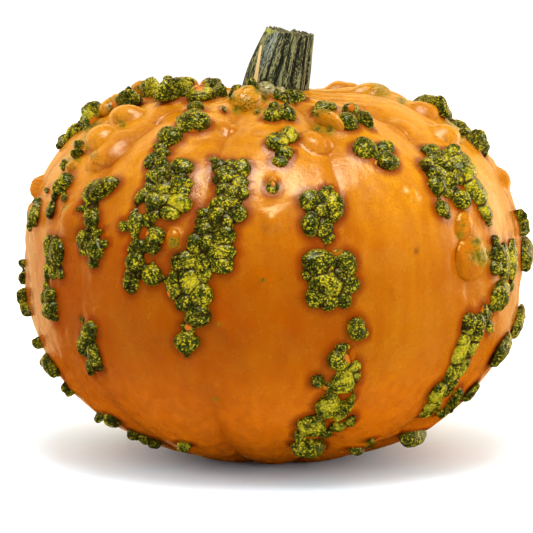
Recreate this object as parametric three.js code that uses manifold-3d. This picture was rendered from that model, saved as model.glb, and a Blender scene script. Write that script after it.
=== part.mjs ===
// Warty winter squash, as picked: one ribbed fruit with the warts that grew on it, and its cut stem.
// Millimetres, +Z up. The fruit rests on z = 0, its axis is x = y = 0 and its front faces -Y.

import * as THREE from 'three';
import { mergeVertices } from 'three/addons/utils/BufferGeometryUtils.js';
import Module from 'manifold-3d';

// Fruit: a squat superellipsoid, furrowed between its ribs
const GIRTH = 272; // across the ribs at the waist
const WAIST = 102; // height of the widest level
const SHOULDER = 199; // height of the shoulders
const FOOT_CUT = 2.6; // how much of the round underside the flat foot takes away
const UPPER_SQUARENESS = 2.75; // superellipse exponent above the waist
const LOWER_SQUARENESS = 2.2; // the same below it, where the fruit is rounder
const RIBS = 11;
const WAIST_FURROW = 1.5; // furrow depth half way up
const END_FURROW = 4; // added furrow depth towards stem and foot
const STEM_RISE = 4; // how far the skin rises towards the stem
const RISE_RADIUS = 24;
const SIDE_SWELL = 6; // extra height of the left and right shoulders
const SWELL_RADIUS = 58; // distance of that swelling from the axis
const SWELL_WIDTH = 26;
const SKIN_COLUMNS = RIBS * 5;
const SKIN_ROWS = 20;

// Stem: a ribbed stub that flares into the fruit and leans to the right
const STEM_FOOT = 190; // height of its lower end, sunk in the fruit
const STEM_TOP = 233;
const STEM_FOOT_RADIUS = 19;
const STEM_TOP_RADIUS = 13.4;
const STEM_LEAN = 9.3; // sideways travel of its centre line
const STEM_RIDGES = 9;
const STEM_GROOVE = 2.2;
const STEM_CUT_SLOPE = -0.17; // fall of the cut face to the right
const STEM_COLUMNS = 45;
const STEM_ROWS = 7;
const STEM_GAP = 0.4; // play all round the stem in its seat

// Front elevation, in which the front's lobes are laid out: seen from EYE in front, looking down by TILT
const TILT = THREE.MathUtils.degToRad(8);
const EYE = 2200;
const LOWEST_SEEN = -3.8; // view height of the outline's lowest point

const LOBE_SIDES = 5;
const LOBE_CROWN = 0.72; // height of a lobe's upper ring, as a share of the lobe's height
const LOBE_ROOT = 0.9; // depth of a lobe's pointed root, as a share of the same height
const LOBE_OVERSIZE = 1.1; // makes up for the flats of a faceted lobe
const WART_ROUNDNESS = 0.85; // height of a wart's lobe over its smaller half width
const BULGE_ROUNDNESS = 0.5;
const WART_LIFT = 0.12; // how far a lobe's middle stands off the skin, as a share of its height

// Warts on the front, string by string. Each lobe: [x, height, half width, half height, turn in degrees],
// with x from the axis and height from the outline's lowest point, both in the front elevation. The small
// lobes between these are left off the solid.
const FRONT_WARTS = {
  leftSkyline: [
    [-98, 191, 5, 5.5, 0], [-89, 198, 6, 4.4, 0], [-71.5, 206, 6, 5, 0], [-65.5, 203.5, 6.6, 5.5, 0],
    [-55.5, 204.5, 12, 5.5, 25], [-33, 204, 7, 5, 0], [-38.5, 199.5, 9, 5.5, 0],
  ],
  leftShoulderString: [
    [-43.5, 185, 9, 6.6, 0], [-57, 177.5, 7, 6, 0], [-63, 158, 5.5, 4.4, 0],
  ],
  leftFlank: [
    [-114, 152, 3.9, 6.6, -30], [-94.5, 148, 10, 5, 25], [-104, 119, 3.9, 6.6, 0],
    [-96, 113.5, 4.4, 7, -30], [-119, 115.5, 3.9, 7.7, 0], [-137, 88, 3.1, 8, 0], [-96, 56, 3.9, 7.7, 10],
  ],
  leftOfMiddle: [
    [-50.5, 161, 5.5, 4.4, 0], [-51, 149.5, 5.5, 5, 0], [-65, 139, 5, 7, 0], [-53.5, 139.5, 7.7, 7, 0],
    [-76, 131, 3.9, 7.7, 0], [-64, 122, 5, 7, 0], [-54, 121, 5, 5.5, 0], [-75.5, 109, 5.5, 5, 0],
    [-65.5, 102, 5.2, 5.2, 0],
  ],
  middle: [
    [-28, 158.5, 5.5, 6.6, 0], [-19, 161, 6, 5.5, 0], [-28, 137, 6.6, 7.7, 0], [-27, 124, 5.5, 5, 0],
    [-29.5, 115, 6.6, 3.9, 0], [-28.5, 108, 6, 4.4, 0], [-39, 123, 6.6, 8, 0],
  ],
  broadPatch: [
    [-50, 108, 6.6, 6.6, 0], [-39.5, 105.5, 6, 7, 0], [-52, 95, 5.5, 6.6, 0], [-45.5, 98, 6, 6, 0],
    [-40, 92, 6, 5.5, 0], [-48, 87.5, 5.5, 5, 0], [-40.5, 80, 6.6, 5.5, 0], [-47.5, 65, 5.8, 5.2, 0],
  ],
  underStem: [
    [7.5, 190, 4.4, 6.6, 0], [9, 177.5, 4.4, 6.6, 0], [3, 172.5, 6.6, 6.6, 0],
  ],
  rightOfStem: [
    [28.5, 188, 6.6, 8.3, 0], [41, 185, 6, 6.6, 0], [49.5, 187, 4.4, 7, 0], [50, 171, 6.6, 6.6, 0],
    [61.5, 170.5, 5.5, 5, 0], [63, 161.5, 5.5, 5.5, 0],
  ],
  rightShoulder: [
    [88.5, 195, 10, 4.4, -35], [110, 176, 5, 5.5, 0], [91, 149.5, 4.4, 5.5, 0], [98, 167, 5, 6, 0],
    [117, 139.5, 2.8, 8.8, 10], [103, 143, 5.5, 5.5, 0],
  ],
  rightFlank: [
    [123, 109.5, 4.4, 8.8, 0], [124, 92, 5, 10, -10], [132, 107, 3.3, 12.6, 0], [140, 113.5, 2.8, 9.4, 0],
    [135, 75.5, 2.8, 10, -20], [125.5, 58, 2.8, 11, -35],
  ],
  lowerRightBand: [
    [109, 71.5, 5.5, 7.7, -20], [105.5, 61.5, 6.5, 8.8, -20], [102, 51.5, 5, 6.6, -25],
    [92.5, 36, 4.4, 5.5, -35], [86.5, 30, 5, 5, -40], [77, 12, 7.7, 3.9, 20],
  ],
  rightOfMiddle: [
    [20.5, 142.5, 6, 5.5, 0], [31.5, 139, 6.6, 7.7, 0], [23.5, 129, 7, 6.6, 0], [25, 108, 8.8, 7, 0],
    [22.5, 98.5, 6.6, 6.6, 0], [32.5, 94.5, 7.7, 6.6, 0], [39.5, 106.5, 5, 6, 0], [29, 87.5, 7.7, 5, 0],
    [46, 71.5, 5.2, 6, 0],
  ],
  lowerMiddle: [
    [36, 56.5, 5.5, 5.5, 0], [36, 43, 5.5, 5, 0], [43.5, 48, 5, 6.6, -20], [31, 31.5, 6.6, 7.7, 0],
    [41, 28.5, 3.3, 10, 0], [21, 22, 7, 5.5, 0], [19, 13, 8.8, 5, 0], [18.5, 5.5, 7, 6.6, 0],
  ],
};

// Knobs and warts that crowd the front of the stem's foot. Each: [x, height of its top in the front
// elevation, distance in front of the axis, half width, half depth, height over its widest level].
const STEM_LOBES = [
  [-14.3, 206, 40, 9.4, 11, 11], [-3.9, 208, 26, 7, 6, 10], [2.5, 205.5, 27, 6.5, 6, 8],
  [-19.5, 206, 30, 4.6, 5, 9], [11.5, 204.5, 32, 6.8, 6.5, 8],
];

// Soft bulges of the skin on the front, laid out in the same way as its warts
const FRONT_BULGES = [
  [-81.5, 190, 10, 7, 0], [-97, 171.5, 9.4, 17.6, 0], [-110.5, 162, 5, 4, 0], [-131.5, 150, 5.5, 7, 0],
  [-110.5, 132, 7, 9.4, 0], [21.5, 179, 10, 12.6, 0], [55, 206, 13, 5, 0],
  [38, 205, 9, 5, 0], [83.5, 192, 8, 5, 0], [94.5, 180.5, 9.4, 8.8, 0], [105.5, 127.5, 5, 8, 0],
  [110, 109, 10, 10.5, 0], [128, 154, 3.9, 7.7, 0],
];

// Warts on the sides and back that the front elevation doesn't show: strings down the fruit, by rule
const HIDDEN_STRINGS = 7;
const HIDDEN_START = 112; // turn from the front of the first string, in degrees
const HIDDEN_END = 248;
const HIDDEN_SEED = 2917;

const wasm = await Module();
wasm.setup();

const CENTRE = new THREE.Vector3(0, 0, WAIST);
const TO_EYE = new THREE.Vector3(0, -Math.cos(TILT), Math.sin(TILT));
const VIEW_UP = new THREE.Vector3(0, Math.sin(TILT), Math.cos(TILT));
const VIEW_RIGHT = new THREE.Vector3(1, 0, 0);
const EYE_POINT = CENTRE.clone().addScaledVector(TO_EYE, EYE);

// Park-Miller generator: the same numbers between low and high on every run
function seededDraw(seed) {
  let state = seed;
  return (low, high) => {
    state = (state * 16807) % 2147483647;
    return low + (high - low) * (state / 2147483647);
  };
}

// Bell curve of unit height
function bell(distance, width) {
  return Math.exp(-((distance / width) ** 2));
}

// Distance from CENTRE to the skin. Turn runs from the front to the right, and rise up from level.
function reach(turn, rise) {
  const up = Math.sin(rise);
  const out = Math.cos(rise);
  const squareness = up > 0 ? UPPER_SQUARENESS : LOWER_SQUARENESS;
  const halfHeight = up > 0 ? SHOULDER - WAIST : WAIST + FOOT_CUT;
  const sum = (out / (GIRTH / 2)) ** squareness + (Math.abs(up) / halfHeight) ** squareness;
  const plain = sum ** (-1 / squareness);
  const fromAxis = plain * out;
  const groove = 1 - Math.abs(Math.cos((RIBS / 2) * turn)) ** 0.6;
  const ends = END_FURROW * Math.sin(2 * rise) ** 2 * Math.abs(up);
  const furrow = groove * (WAIST_FURROW * out + ends);
  const top = up > 0 ? up : 0;
  const risen = top * STEM_RISE * bell(fromAxis, RISE_RADIUS);
  const side = Math.sin(turn) ** 2 * (1 - bell(fromAxis, RISE_RADIUS));
  const swell = top * SIDE_SWELL * side * bell(fromAxis - SWELL_RADIUS, SWELL_WIDTH);
  return plain - furrow + risen + swell;
}

function skinPoint(turn, rise) {
  const distance = reach(turn, rise);
  const out = distance * Math.cos(rise);
  const z = Math.max(WAIST + distance * Math.sin(rise), 0);
  return new THREE.Vector3(out * Math.sin(turn), -out * Math.cos(turn), z);
}

// How far a point lies outside the skin, along the line from CENTRE
function outside(point) {
  const arm = point.clone().sub(CENTRE);
  const turn = Math.atan2(arm.x, -arm.y);
  const rise = Math.asin(arm.z / arm.length());
  return arm.length() - reach(turn, rise);
}

// Outward normal of the skin, from the slope of outside()
function skinNormal(point) {
  const step = 2;
  const slope = (axis) => outside(point.clone().addScaledVector(axis, step))
    - outside(point.clone().addScaledVector(axis, -step));
  const x = slope(new THREE.Vector3(1, 0, 0));
  const y = slope(new THREE.Vector3(0, 1, 0));
  const z = slope(new THREE.Vector3(0, 0, 1));
  return new THREE.Vector3(x, y, z).normalize();
}

// Where the front elevation's point (x, height) lies on the skin, or next to it where the sight line misses
function sightPoint(x, height) {
  const viewHeight = height + LOWEST_SEEN - WAIST * Math.cos(TILT);
  const target = CENTRE.clone().addScaledVector(VIEW_RIGHT, x).addScaledVector(VIEW_UP, viewHeight);
  const sight = target.clone().sub(EYE_POINT).normalize();
  const start = target.distanceTo(EYE_POINT) - GIRTH * 0.6;
  let best = Infinity;
  let found = target;
  for (let travel = start; travel < start + GIRTH * 0.8; travel += 0.5) {
    const point = EYE_POINT.clone().addScaledVector(sight, travel);
    const miss = outside(point);
    if (miss < best) {
      best = miss;
      found = point;
    }
    if (miss <= 0) break;
  }
  return found;
}

// A lobe of the front: an ellipsoid rooted in the skin that has the given outline in the front elevation.
// The outline is widened along the direction that the skin foreshortens, and its middle is moved inwards
// because the skin hides the ellipsoid's root.
function frontLobe([x, height, halfWidth, halfHeight, turnDegrees], roundness) {
  const turn = THREE.MathUtils.degToRad(turnDegrees);
  const normal = skinNormal(sightPoint(x, height));
  const facing = Math.max(normal.dot(TO_EYE), 0.03);
  const slant = Math.sqrt(1 - facing ** 2);
  const outX = slant > 0.01 ? normal.dot(VIEW_RIGHT) / slant : 1;
  const outY = slant > 0.01 ? normal.dot(VIEW_UP) / slant : 0;
  const alongWide = Math.cos(turn) * outX + Math.sin(turn) * outY;
  const alongTall = -Math.sin(turn) * outX + Math.cos(turn) * outY;
  const seenOut = Math.hypot(halfWidth * alongWide, halfHeight * alongTall);
  const seenRound = Math.hypot(halfWidth * alongTall, halfHeight * alongWide);
  const skew = (halfHeight ** 2 - halfWidth ** 2) * alongWide * alongTall / facing;
  const stretch = 1 + (1 - facing) ** 2;
  const tall = Math.min(roundness * Math.min(seenOut, seenRound) * stretch, 1.9 * seenOut / slant);
  const widened = (4 * seenOut ** 2 - (tall * slant) ** 2) / (4 * seenOut * facing);
  const low = Math.min(0.6 * seenRound, seenOut);
  const high = Math.max(1.05 * seenRound, seenOut);
  const deep = THREE.MathUtils.clamp(widened, low, high);
  const inset = (Math.hypot(facing * deep, tall * slant) - facing * deep) / 2;
  const centre = sightPoint(x - inset * outX, height - inset * outY);
  const shear = THREE.MathUtils.clamp(skew / deep, -0.8 * seenRound, 0.8 * seenRound);
  const cross = Math.sqrt(seenRound ** 2 - shear ** 2);
  const inward = TO_EYE.clone().addScaledVector(normal, -facing).normalize();
  const round = new THREE.Vector3().crossVectors(normal, inward);
  const first = inward.clone().multiplyScalar(deep).addScaledVector(round, shear);
  centre.addScaledVector(normal, WART_LIFT * tall);
  return { centre, axes: [first, round.multiplyScalar(cross), normal.multiplyScalar(tall)] };
}

// An upright lobe beside the stem, by its top in the front elevation and its distance in front of the axis
function stemLobe([x, topHeight, front, halfWidth, halfDepth, rise]) {
  const viewHeight = topHeight + LOWEST_SEEN - WAIST * Math.cos(TILT);
  const top = WAIST + (viewHeight + front * Math.sin(TILT)) / Math.cos(TILT);
  const axes = [new THREE.Vector3(), new THREE.Vector3(), new THREE.Vector3()];
  new THREE.Matrix4().makeScale(halfWidth, halfDepth, rise).extractBasis(...axes);
  return { centre: new THREE.Vector3(x, -front, top - rise), axes };
}

// A lobe by its place on the fruit, with half sizes along the level circle and down the fruit
function placedLobe(turn, rise, halfWidth, halfHeight, roundness) {
  const centre = skinPoint(turn, rise);
  const normal = skinNormal(centre);
  const level = new THREE.Vector3(Math.cos(turn), Math.sin(turn), 0);
  level.addScaledVector(normal, -normal.dot(level)).normalize();
  const upward = new THREE.Vector3().crossVectors(normal, level);
  const tall = roundness * Math.min(halfWidth, halfHeight);
  centre.addScaledVector(normal, WART_LIFT * tall);
  const wide = level.multiplyScalar(halfWidth);
  const axes = [wide, upward.multiplyScalar(halfHeight), normal.multiplyScalar(tall)];
  return { centre, axes };
}

// Strings of warts down the sides and back: runs of lobes with gaps, some lobes with a twin beside them
function hiddenLobes() {
  const draw = seededDraw(HIDDEN_SEED);
  const lobes = [];
  for (let string = 0; string < HIDDEN_STRINGS; string += 1) {
    const share = string / (HIDDEN_STRINGS - 1);
    let turn = HIDDEN_START + (HIDDEN_END - HIDDEN_START) * share + draw(-3, 3);
    let rise = draw(30, 52);
    const lowest = draw(-50, -32);
    while (rise > lowest) {
      const count = Math.floor(draw(2, 5.99));
      for (let place = 0; place < count; place += 1) {
        const fullness = 0.65 + 0.35 * Math.sin(Math.PI * (place + 0.5) / count);
        const halfWidth = fullness * draw(6.2, 9.5);
        const halfHeight = halfWidth * draw(0.75, 1.15);
        const place3 = [THREE.MathUtils.degToRad(turn), THREE.MathUtils.degToRad(rise)];
        lobes.push(placedLobe(...place3, halfWidth, halfHeight, WART_ROUNDNESS));
        if (draw(0, 1) < 0.3) {
          const side = draw(0, 1) < 0.5 ? -1 : 1;
          const twinTurn = turn + side * halfWidth * draw(0.6, 0.75);
          const twinRise = rise + draw(-1.5, 1.5);
          const twin = [THREE.MathUtils.degToRad(twinTurn), THREE.MathUtils.degToRad(twinRise)];
          lobes.push(placedLobe(...twin, halfWidth * 0.75, halfHeight * 0.75, WART_ROUNDNESS));
        }
        rise -= halfHeight * draw(0.78, 0.92);
        turn += draw(-1.6, 1.6);
      }
      rise -= draw(10, 20);
    }
  }
  return lobes;
}

// Closed surface through rings of points, with its ends drawn to one point each. The rings run anticlockwise
// as seen from the last end.
function closedSurface(rings, firstEnd, lastEnd) {
  const columns = rings[0].length;
  const points = [...rings.flat(), firstEnd, lastEnd];
  const first = points.length - 2;
  const last = points.length - 1;
  const index = [];
  for (let column = 0; column < columns; column += 1) {
    const next = (column + 1) % columns;
    index.push(first, next, column);
    const top = (rings.length - 1) * columns;
    index.push(last, top + column, top + next);
    for (let row = 0; row < rings.length - 1; row += 1) {
      const low = row * columns;
      const high = low + columns;
      index.push(low + column, low + next, high + next);
      index.push(low + column, high + next, high + column);
    }
  }
  const geometry = new THREE.BufferGeometry().setFromPoints(points);
  geometry.setIndex(index);
  return geometry;
}

function skinSurface() {
  const rings = [];
  for (let row = 1; row < SKIN_ROWS; row += 1) {
    const rise = Math.PI * (row / SKIN_ROWS - 0.5);
    const ring = [];
    for (let column = 0; column < SKIN_COLUMNS; column += 1) {
      ring.push(skinPoint(2 * Math.PI * column / SKIN_COLUMNS, rise));
    }
    rings.push(ring);
  }
  return closedSurface(rings, skinPoint(0, -Math.PI / 2), skinPoint(0, Math.PI / 2));
}

// One level ring of the stem, grown by play, at a share of the way from its foot to its cut
function stemRing(share, play, flatCut) {
  const lean = STEM_LEAN * Math.max(share, 0) ** 1.5;
  const taper = (STEM_FOOT_RADIUS - STEM_TOP_RADIUS) * Math.max(share, 0) ** 1.8;
  const ring = [];
  for (let column = 0; column < STEM_COLUMNS; column += 1) {
    const angle = 2 * Math.PI * column / STEM_COLUMNS;
    const uneven = STEM_RIDGES / 2 * angle + 0.5 * Math.sin(angle + 1);
    const groove = STEM_GROOVE * (1 - Math.abs(Math.cos(uneven)));
    const radius = STEM_FOOT_RADIUS - taper - groove + play;
    const slope = flatCut ? 0 : STEM_CUT_SLOPE * Math.max(share, 0) ** 3 * radius * Math.cos(angle);
    const z = STEM_FOOT + (STEM_TOP - STEM_FOOT) * share + slope;
    ring.push(new THREE.Vector3(lean + radius * Math.cos(angle), radius * Math.sin(angle), z));
  }
  return ring;
}

function stemSurface() {
  const rings = [];
  for (let row = 0; row <= STEM_ROWS; row += 1) rings.push(stemRing(row / STEM_ROWS, 0, false));
  const firstEnd = new THREE.Vector3(0, 0, STEM_FOOT);
  const lastEnd = new THREE.Vector3(STEM_LEAN, 0, STEM_TOP - 1);
  return closedSurface(rings, firstEnd, lastEnd);
}

// The room that the stem takes in the fruit, open upwards
function stemSeat() {
  const below = -STEM_GAP / (STEM_TOP - STEM_FOOT);
  const rings = [stemRing(below, STEM_GAP, true)];
  for (let row = 1; row <= STEM_ROWS; row += 1) rings.push(stemRing(row / STEM_ROWS, STEM_GAP, true));
  const firstEnd = new THREE.Vector3(0, 0, STEM_FOOT - STEM_GAP);
  const lastEnd = new THREE.Vector3(STEM_LEAN, 0, STEM_TOP + 1);
  return closedSurface(rings, firstEnd, lastEnd);
}

// A lobe of unit size: a pointed root, a widest ring, a crown ring and a tip
function lobeShape() {
  const ring = (radius, z) => Array.from({ length: LOBE_SIDES }, (_, side) => {
    const angle = 2 * Math.PI * side / LOBE_SIDES;
    return new THREE.Vector3(radius * Math.cos(angle), radius * Math.sin(angle), z);
  });
  const crownRadius = Math.sqrt(1 - LOBE_CROWN ** 2);
  const rings = [ring(LOBE_OVERSIZE, 0), ring(LOBE_OVERSIZE * crownRadius, LOBE_CROWN)];
  return closedSurface(rings, new THREE.Vector3(0, 0, -LOBE_ROOT), new THREE.Vector3(0, 0, 1));
}

function lobeSurface({ centre, axes }) {
  const geometry = LOBE_SHAPE.clone();
  geometry.applyMatrix4(new THREE.Matrix4().makeBasis(...axes).setPosition(centre));
  return geometry;
}

function toSolid(geometry) {
  const plain = geometry.clone();
  plain.deleteAttribute('normal');
  plain.deleteAttribute('uv');
  const merged = mergeVertices(plain);
  const vertProperties = new Float32Array(merged.attributes.position.array);
  const triVerts = new Uint32Array(merged.index.array);
  return new wasm.Manifold(new wasm.Mesh({ numProp: 3, vertProperties, triVerts }));
}

function toGeometry(solid) {
  const mesh = solid.getMesh();
  const geometry = new THREE.BufferGeometry();
  geometry.setAttribute('position', new THREE.BufferAttribute(new Float32Array(mesh.vertProperties), 3));
  geometry.setIndex(new THREE.BufferAttribute(new Uint32Array(mesh.triVerts), 1));
  geometry.computeVertexNormals();
  return geometry;
}

// The skin with every lobe fused to it, less the stem's seat. Pockets that the lobes close off are filled.
function fruitSurface() {
  const lobes = [
    ...Object.values(FRONT_WARTS).flat().map((row) => frontLobe(row, WART_ROUNDNESS)),
    ...FRONT_BULGES.map((row) => frontLobe(row, BULGE_ROUNDNESS)),
    ...STEM_LOBES.map(stemLobe),
    ...hiddenLobes(),
  ];
  let fruit = toSolid(skinSurface());
  for (const lobe of lobes) fruit = fruit.add(toSolid(lobeSurface(lobe)));
  fruit = fruit.subtract(toSolid(stemSeat()));
  const bodies = fruit.decompose().sort((one, other) => other.volume() - one.volume());
  return toGeometry(bodies[0]);
}

function namedMesh(name, geometry, color, roughness) {
  const mesh = new THREE.Mesh(geometry, new THREE.MeshStandardMaterial({ color, roughness, metalness: 0 }));
  mesh.name = name;
  return mesh;
}

const LOBE_SHAPE = lobeShape();
const squash = new THREE.Group();
squash.add(namedMesh('fruit', fruitSurface(), 0xc87008, 0.42));
squash.add(namedMesh('stem', stemSurface(), 0x4e5c34, 0.8));

export default squash;
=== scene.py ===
"""Looks of a warty winter squash: its ribbed rind, the warts that grew on it and its cut stem.

Lengths are millimetres in the frame of the part (+Z up, the front facing -Y), and a mesh turns
them into metres when it is made. Lights, and heights that a material reads, are in metres from
the start. A turn is an angle round the stem, from the front towards the right, and a rise is an
angle up from level, seen from the fruit's centre.
"""

import logging
import math
from collections.abc import Callable
from dataclasses import dataclass, field
from enum import Enum

import bpy
import numpy as np
from mathutils import Matrix, Vector


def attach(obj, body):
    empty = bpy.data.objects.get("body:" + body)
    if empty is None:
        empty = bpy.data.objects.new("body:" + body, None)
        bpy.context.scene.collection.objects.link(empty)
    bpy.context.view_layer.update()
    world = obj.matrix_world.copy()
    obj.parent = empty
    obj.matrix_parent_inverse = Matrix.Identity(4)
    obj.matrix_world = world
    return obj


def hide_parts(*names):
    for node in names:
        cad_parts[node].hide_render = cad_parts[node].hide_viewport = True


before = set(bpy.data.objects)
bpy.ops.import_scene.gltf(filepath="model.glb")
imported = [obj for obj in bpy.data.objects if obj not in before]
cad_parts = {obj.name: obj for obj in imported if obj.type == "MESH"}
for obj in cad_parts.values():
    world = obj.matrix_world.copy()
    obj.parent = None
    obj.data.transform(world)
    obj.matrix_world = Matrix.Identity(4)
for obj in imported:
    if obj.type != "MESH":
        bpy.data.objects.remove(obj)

Colour = tuple[float, float, float, float]
Range = tuple[float, float]
Triple = tuple[float, float, float]
Row = tuple[float, ...]
Socket = bpy.types.NodeSocket

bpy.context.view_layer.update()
METRES = 0.001

# Side of the square render in its own units, and millimetres at the fruit to one of them
PICTURE = 533
PICTURE_SCALE = 0.55

# The front's warts left of this x are one piece, and the others a second one
WARTS_PART_AT = -10

# Edge of the faces that the warts of the sides and back are remeshed in
BACK_VOXEL = 0.86

# Spots laid out in the front elevation mark nothing farther back than this y
MARKS_END = 25

# Width of the step from the left to the paler, more golden right, and how dark a pit spot is
PALER_RIGHT_WIDTH = 160
PIT_SHADE = 0.8

# Weights, scale and shift that scatter the corners of the noise lattice
NOISE_MIX = np.array([12.9898, 78.233, 37.719])
NOISE_SCALE = 43758.5453
NOISE_SHIFT = 19.7

# The Park-Miller generator
PARK_MILLER_FACTOR = 16807
PARK_MILLER_PRIME = 2147483647

log = logging.getLogger("squash")


class Bright(Enum):
    """How far the shade of a wart departs from the common dark green."""

    OLIVE = 0.45
    LIME = 1.0


# ---------------------------------------------------------------- form of the fruit


@dataclass(frozen=True)
class RindForm:
    """The skin as a distance from the fruit's centre: a superellipsoid with furrows and a flat foot."""

    girth: float = 272.0
    waist: float = 102.0
    shoulder: float = 199.0
    foot_cut: float = 2.6
    upper_squareness: float = 2.75
    lower_squareness: float = 2.2
    ribs: int = 11
    furrow_power: float = 0.6
    waist_furrow: float = 1.5
    end_furrow: float = 4.0
    stem_rise: float = 4.0
    rise_radius: float = 24.0
    side_swell: float = 6.0
    swell_radius: float = 58.0
    swell_width: float = 26.0

    @property
    def centre(self) -> np.ndarray:
        """The point that turns and rises are measured from."""
        return np.array([0.0, 0.0, self.waist])

    def groove(self, turn: np.ndarray) -> np.ndarray:
        """Share of the furrow depth: 0 on a rib's crest, 1 in a furrow, one minus a power of |cosine|."""
        return 1 - np.abs(np.cos(self.ribs / 2 * turn)) ** self.furrow_power

    def reach(self, turn: np.ndarray, rise: np.ndarray) -> np.ndarray:
        """Distance from the centre to the skin.

        A superellipse (out/half girth)^n + (up/half height)^n = 1, less the furrows, whose depth
        grows towards both ends, plus the bell-shaped rise to the stem and the swollen side shoulders.

        Args:
            turn: angles round the stem, in radians.
            rise: angles above level, in radians.

        Returns:
            The distances, in millimetres.
        """
        up, out = np.sin(rise), np.cos(rise)
        upper = up > 0
        power = np.where(upper, self.upper_squareness, self.lower_squareness)
        half = np.where(upper, self.shoulder - self.waist, self.waist + self.foot_cut)
        total = (np.abs(out) / (self.girth / 2)) ** power + (np.abs(up) / half) ** power
        plain = total ** (-1 / power)
        from_axis = plain * out
        ends = self.end_furrow * np.sin(2 * rise) ** 2 * np.abs(up)
        furrow = self.groove(turn) * (self.waist_furrow * out + ends)
        top = np.maximum(up, 0)
        bell = np.exp(-(from_axis / self.rise_radius) ** 2)
        ring = np.exp(-((from_axis - self.swell_radius) / self.swell_width) ** 2)
        swell = top * self.side_swell * np.sin(turn) ** 2 * (1 - bell) * ring
        return plain - furrow + top * self.stem_rise * bell + swell

    def angles(self, points: np.ndarray) -> tuple[np.ndarray, np.ndarray, np.ndarray]:
        """Places of points round the fruit.

        Args:
            points: the points, in millimetres.

        Returns:
            The turn, the rise and the distance from the centre of each point.
        """
        arm = points - self.centre
        distance = np.linalg.norm(arm, axis=-1)
        turn = np.arctan2(arm[..., 0], -arm[..., 1])
        return turn, np.arcsin(np.clip(arm[..., 2] / distance, -1, 1)), distance

    def outside(self, points: np.ndarray) -> np.ndarray:
        """How far each point lies outside the skin, along its line from the centre."""
        turn, rise, distance = self.angles(points)
        return distance - self.reach(turn, rise)

    def normals(self, points: np.ndarray, step: float = 2.0) -> np.ndarray:
        """Outward unit normals, from central differences of outside().

        Args:
            points: points near the skin.
            step: how far the differences reach to each side, in millimetres.

        Returns:
            One normal for each point.
        """
        shifts = np.eye(3) * step
        slope = np.stack([self.outside(points + s) - self.outside(points - s) for s in shifts], -1)
        return slope / np.linalg.norm(slope, axis=-1, keepdims=True)

    def place(self, turn: np.ndarray, rise: np.ndarray, relief: np.ndarray | float = 0.0) -> np.ndarray:
        """Points of the skin, raised by the relief and cut off level at the foot.

        Args:
            turn: angles round the stem.
            rise: angles above level.
            relief: how far the skin is raised along the line from the centre.

        Returns:
            The points, in millimetres.
        """
        distance = self.reach(turn, rise) + relief
        out = distance * np.cos(rise)
        z = np.maximum(self.waist + distance * np.sin(rise), 0)
        return np.stack([out * np.sin(turn), -out * np.cos(turn), z], -1)


@dataclass(frozen=True)
class FrontElevation:
    """The view in which the front's lobes are laid out, from a point in front, looking slightly down."""

    form: RindForm
    tilt: float = math.radians(8)
    eye: float = 2200.0
    lowest_seen: float = -3.8
    look_from: float = -0.6
    look_to: float = 0.2
    look_step: float = 0.5

    @property
    def to_eye(self) -> np.ndarray:
        """Unit vector from the fruit to the eye."""
        return np.array([0.0, -math.cos(self.tilt), math.sin(self.tilt)])

    @property
    def right(self) -> np.ndarray:
        """Unit vector to the right of the view."""
        return np.array([1.0, 0.0, 0.0])

    @property
    def up(self) -> np.ndarray:
        """Unit vector up the view."""
        return np.array([0.0, math.sin(self.tilt), math.cos(self.tilt)])

    @property
    def eye_point(self) -> np.ndarray:
        """Where the eye is."""
        return self.form.centre + self.to_eye * self.eye

    def view_height(self, height: np.ndarray | float) -> np.ndarray | float:
        """Height above the view's middle of a height above the outline's lowest point."""
        return height + self.lowest_seen - self.form.waist * math.cos(self.tilt)

    def seen(self, points: np.ndarray) -> tuple[np.ndarray, np.ndarray]:
        """Where points appear in the elevation.

        Args:
            points: the points, in millimetres.

        Returns:
            The distances right of the axis and the heights above the outline's lowest point.
        """
        arm = points - self.form.centre
        nearer = self.eye / (self.eye - arm @ self.to_eye)
        return arm @ self.right * nearer, arm @ self.up * nearer - self.view_height(0)

    def sight_points(self, x: np.ndarray, height: np.ndarray) -> np.ndarray:
        """Where sight lines first meet the skin, or pass closest to it where they miss.

        Every line is sampled at even steps, from look_from to look_to times the girth past the centre.

        Args:
            x: distances right of the axis in the elevation.
            height: heights above the outline's lowest point.

        Returns:
            One point for each line.
        """
        target = self.form.centre + x[:, None] * self.right + self.view_height(height)[:, None] * self.up
        sight = target - self.eye_point
        length = np.linalg.norm(sight, axis=-1, keepdims=True)
        girth = self.form.girth
        travel = np.arange(self.look_from * girth, self.look_to * girth, self.look_step)
        line = self.eye_point + (sight / length)[:, None, :] * (length + travel)[..., None]
        miss = self.form.outside(line)
        hit = miss <= 0
        pick = np.where(hit.any(1), hit.argmax(1), miss.argmin(1))
        return line[np.arange(len(line)), pick]


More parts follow.
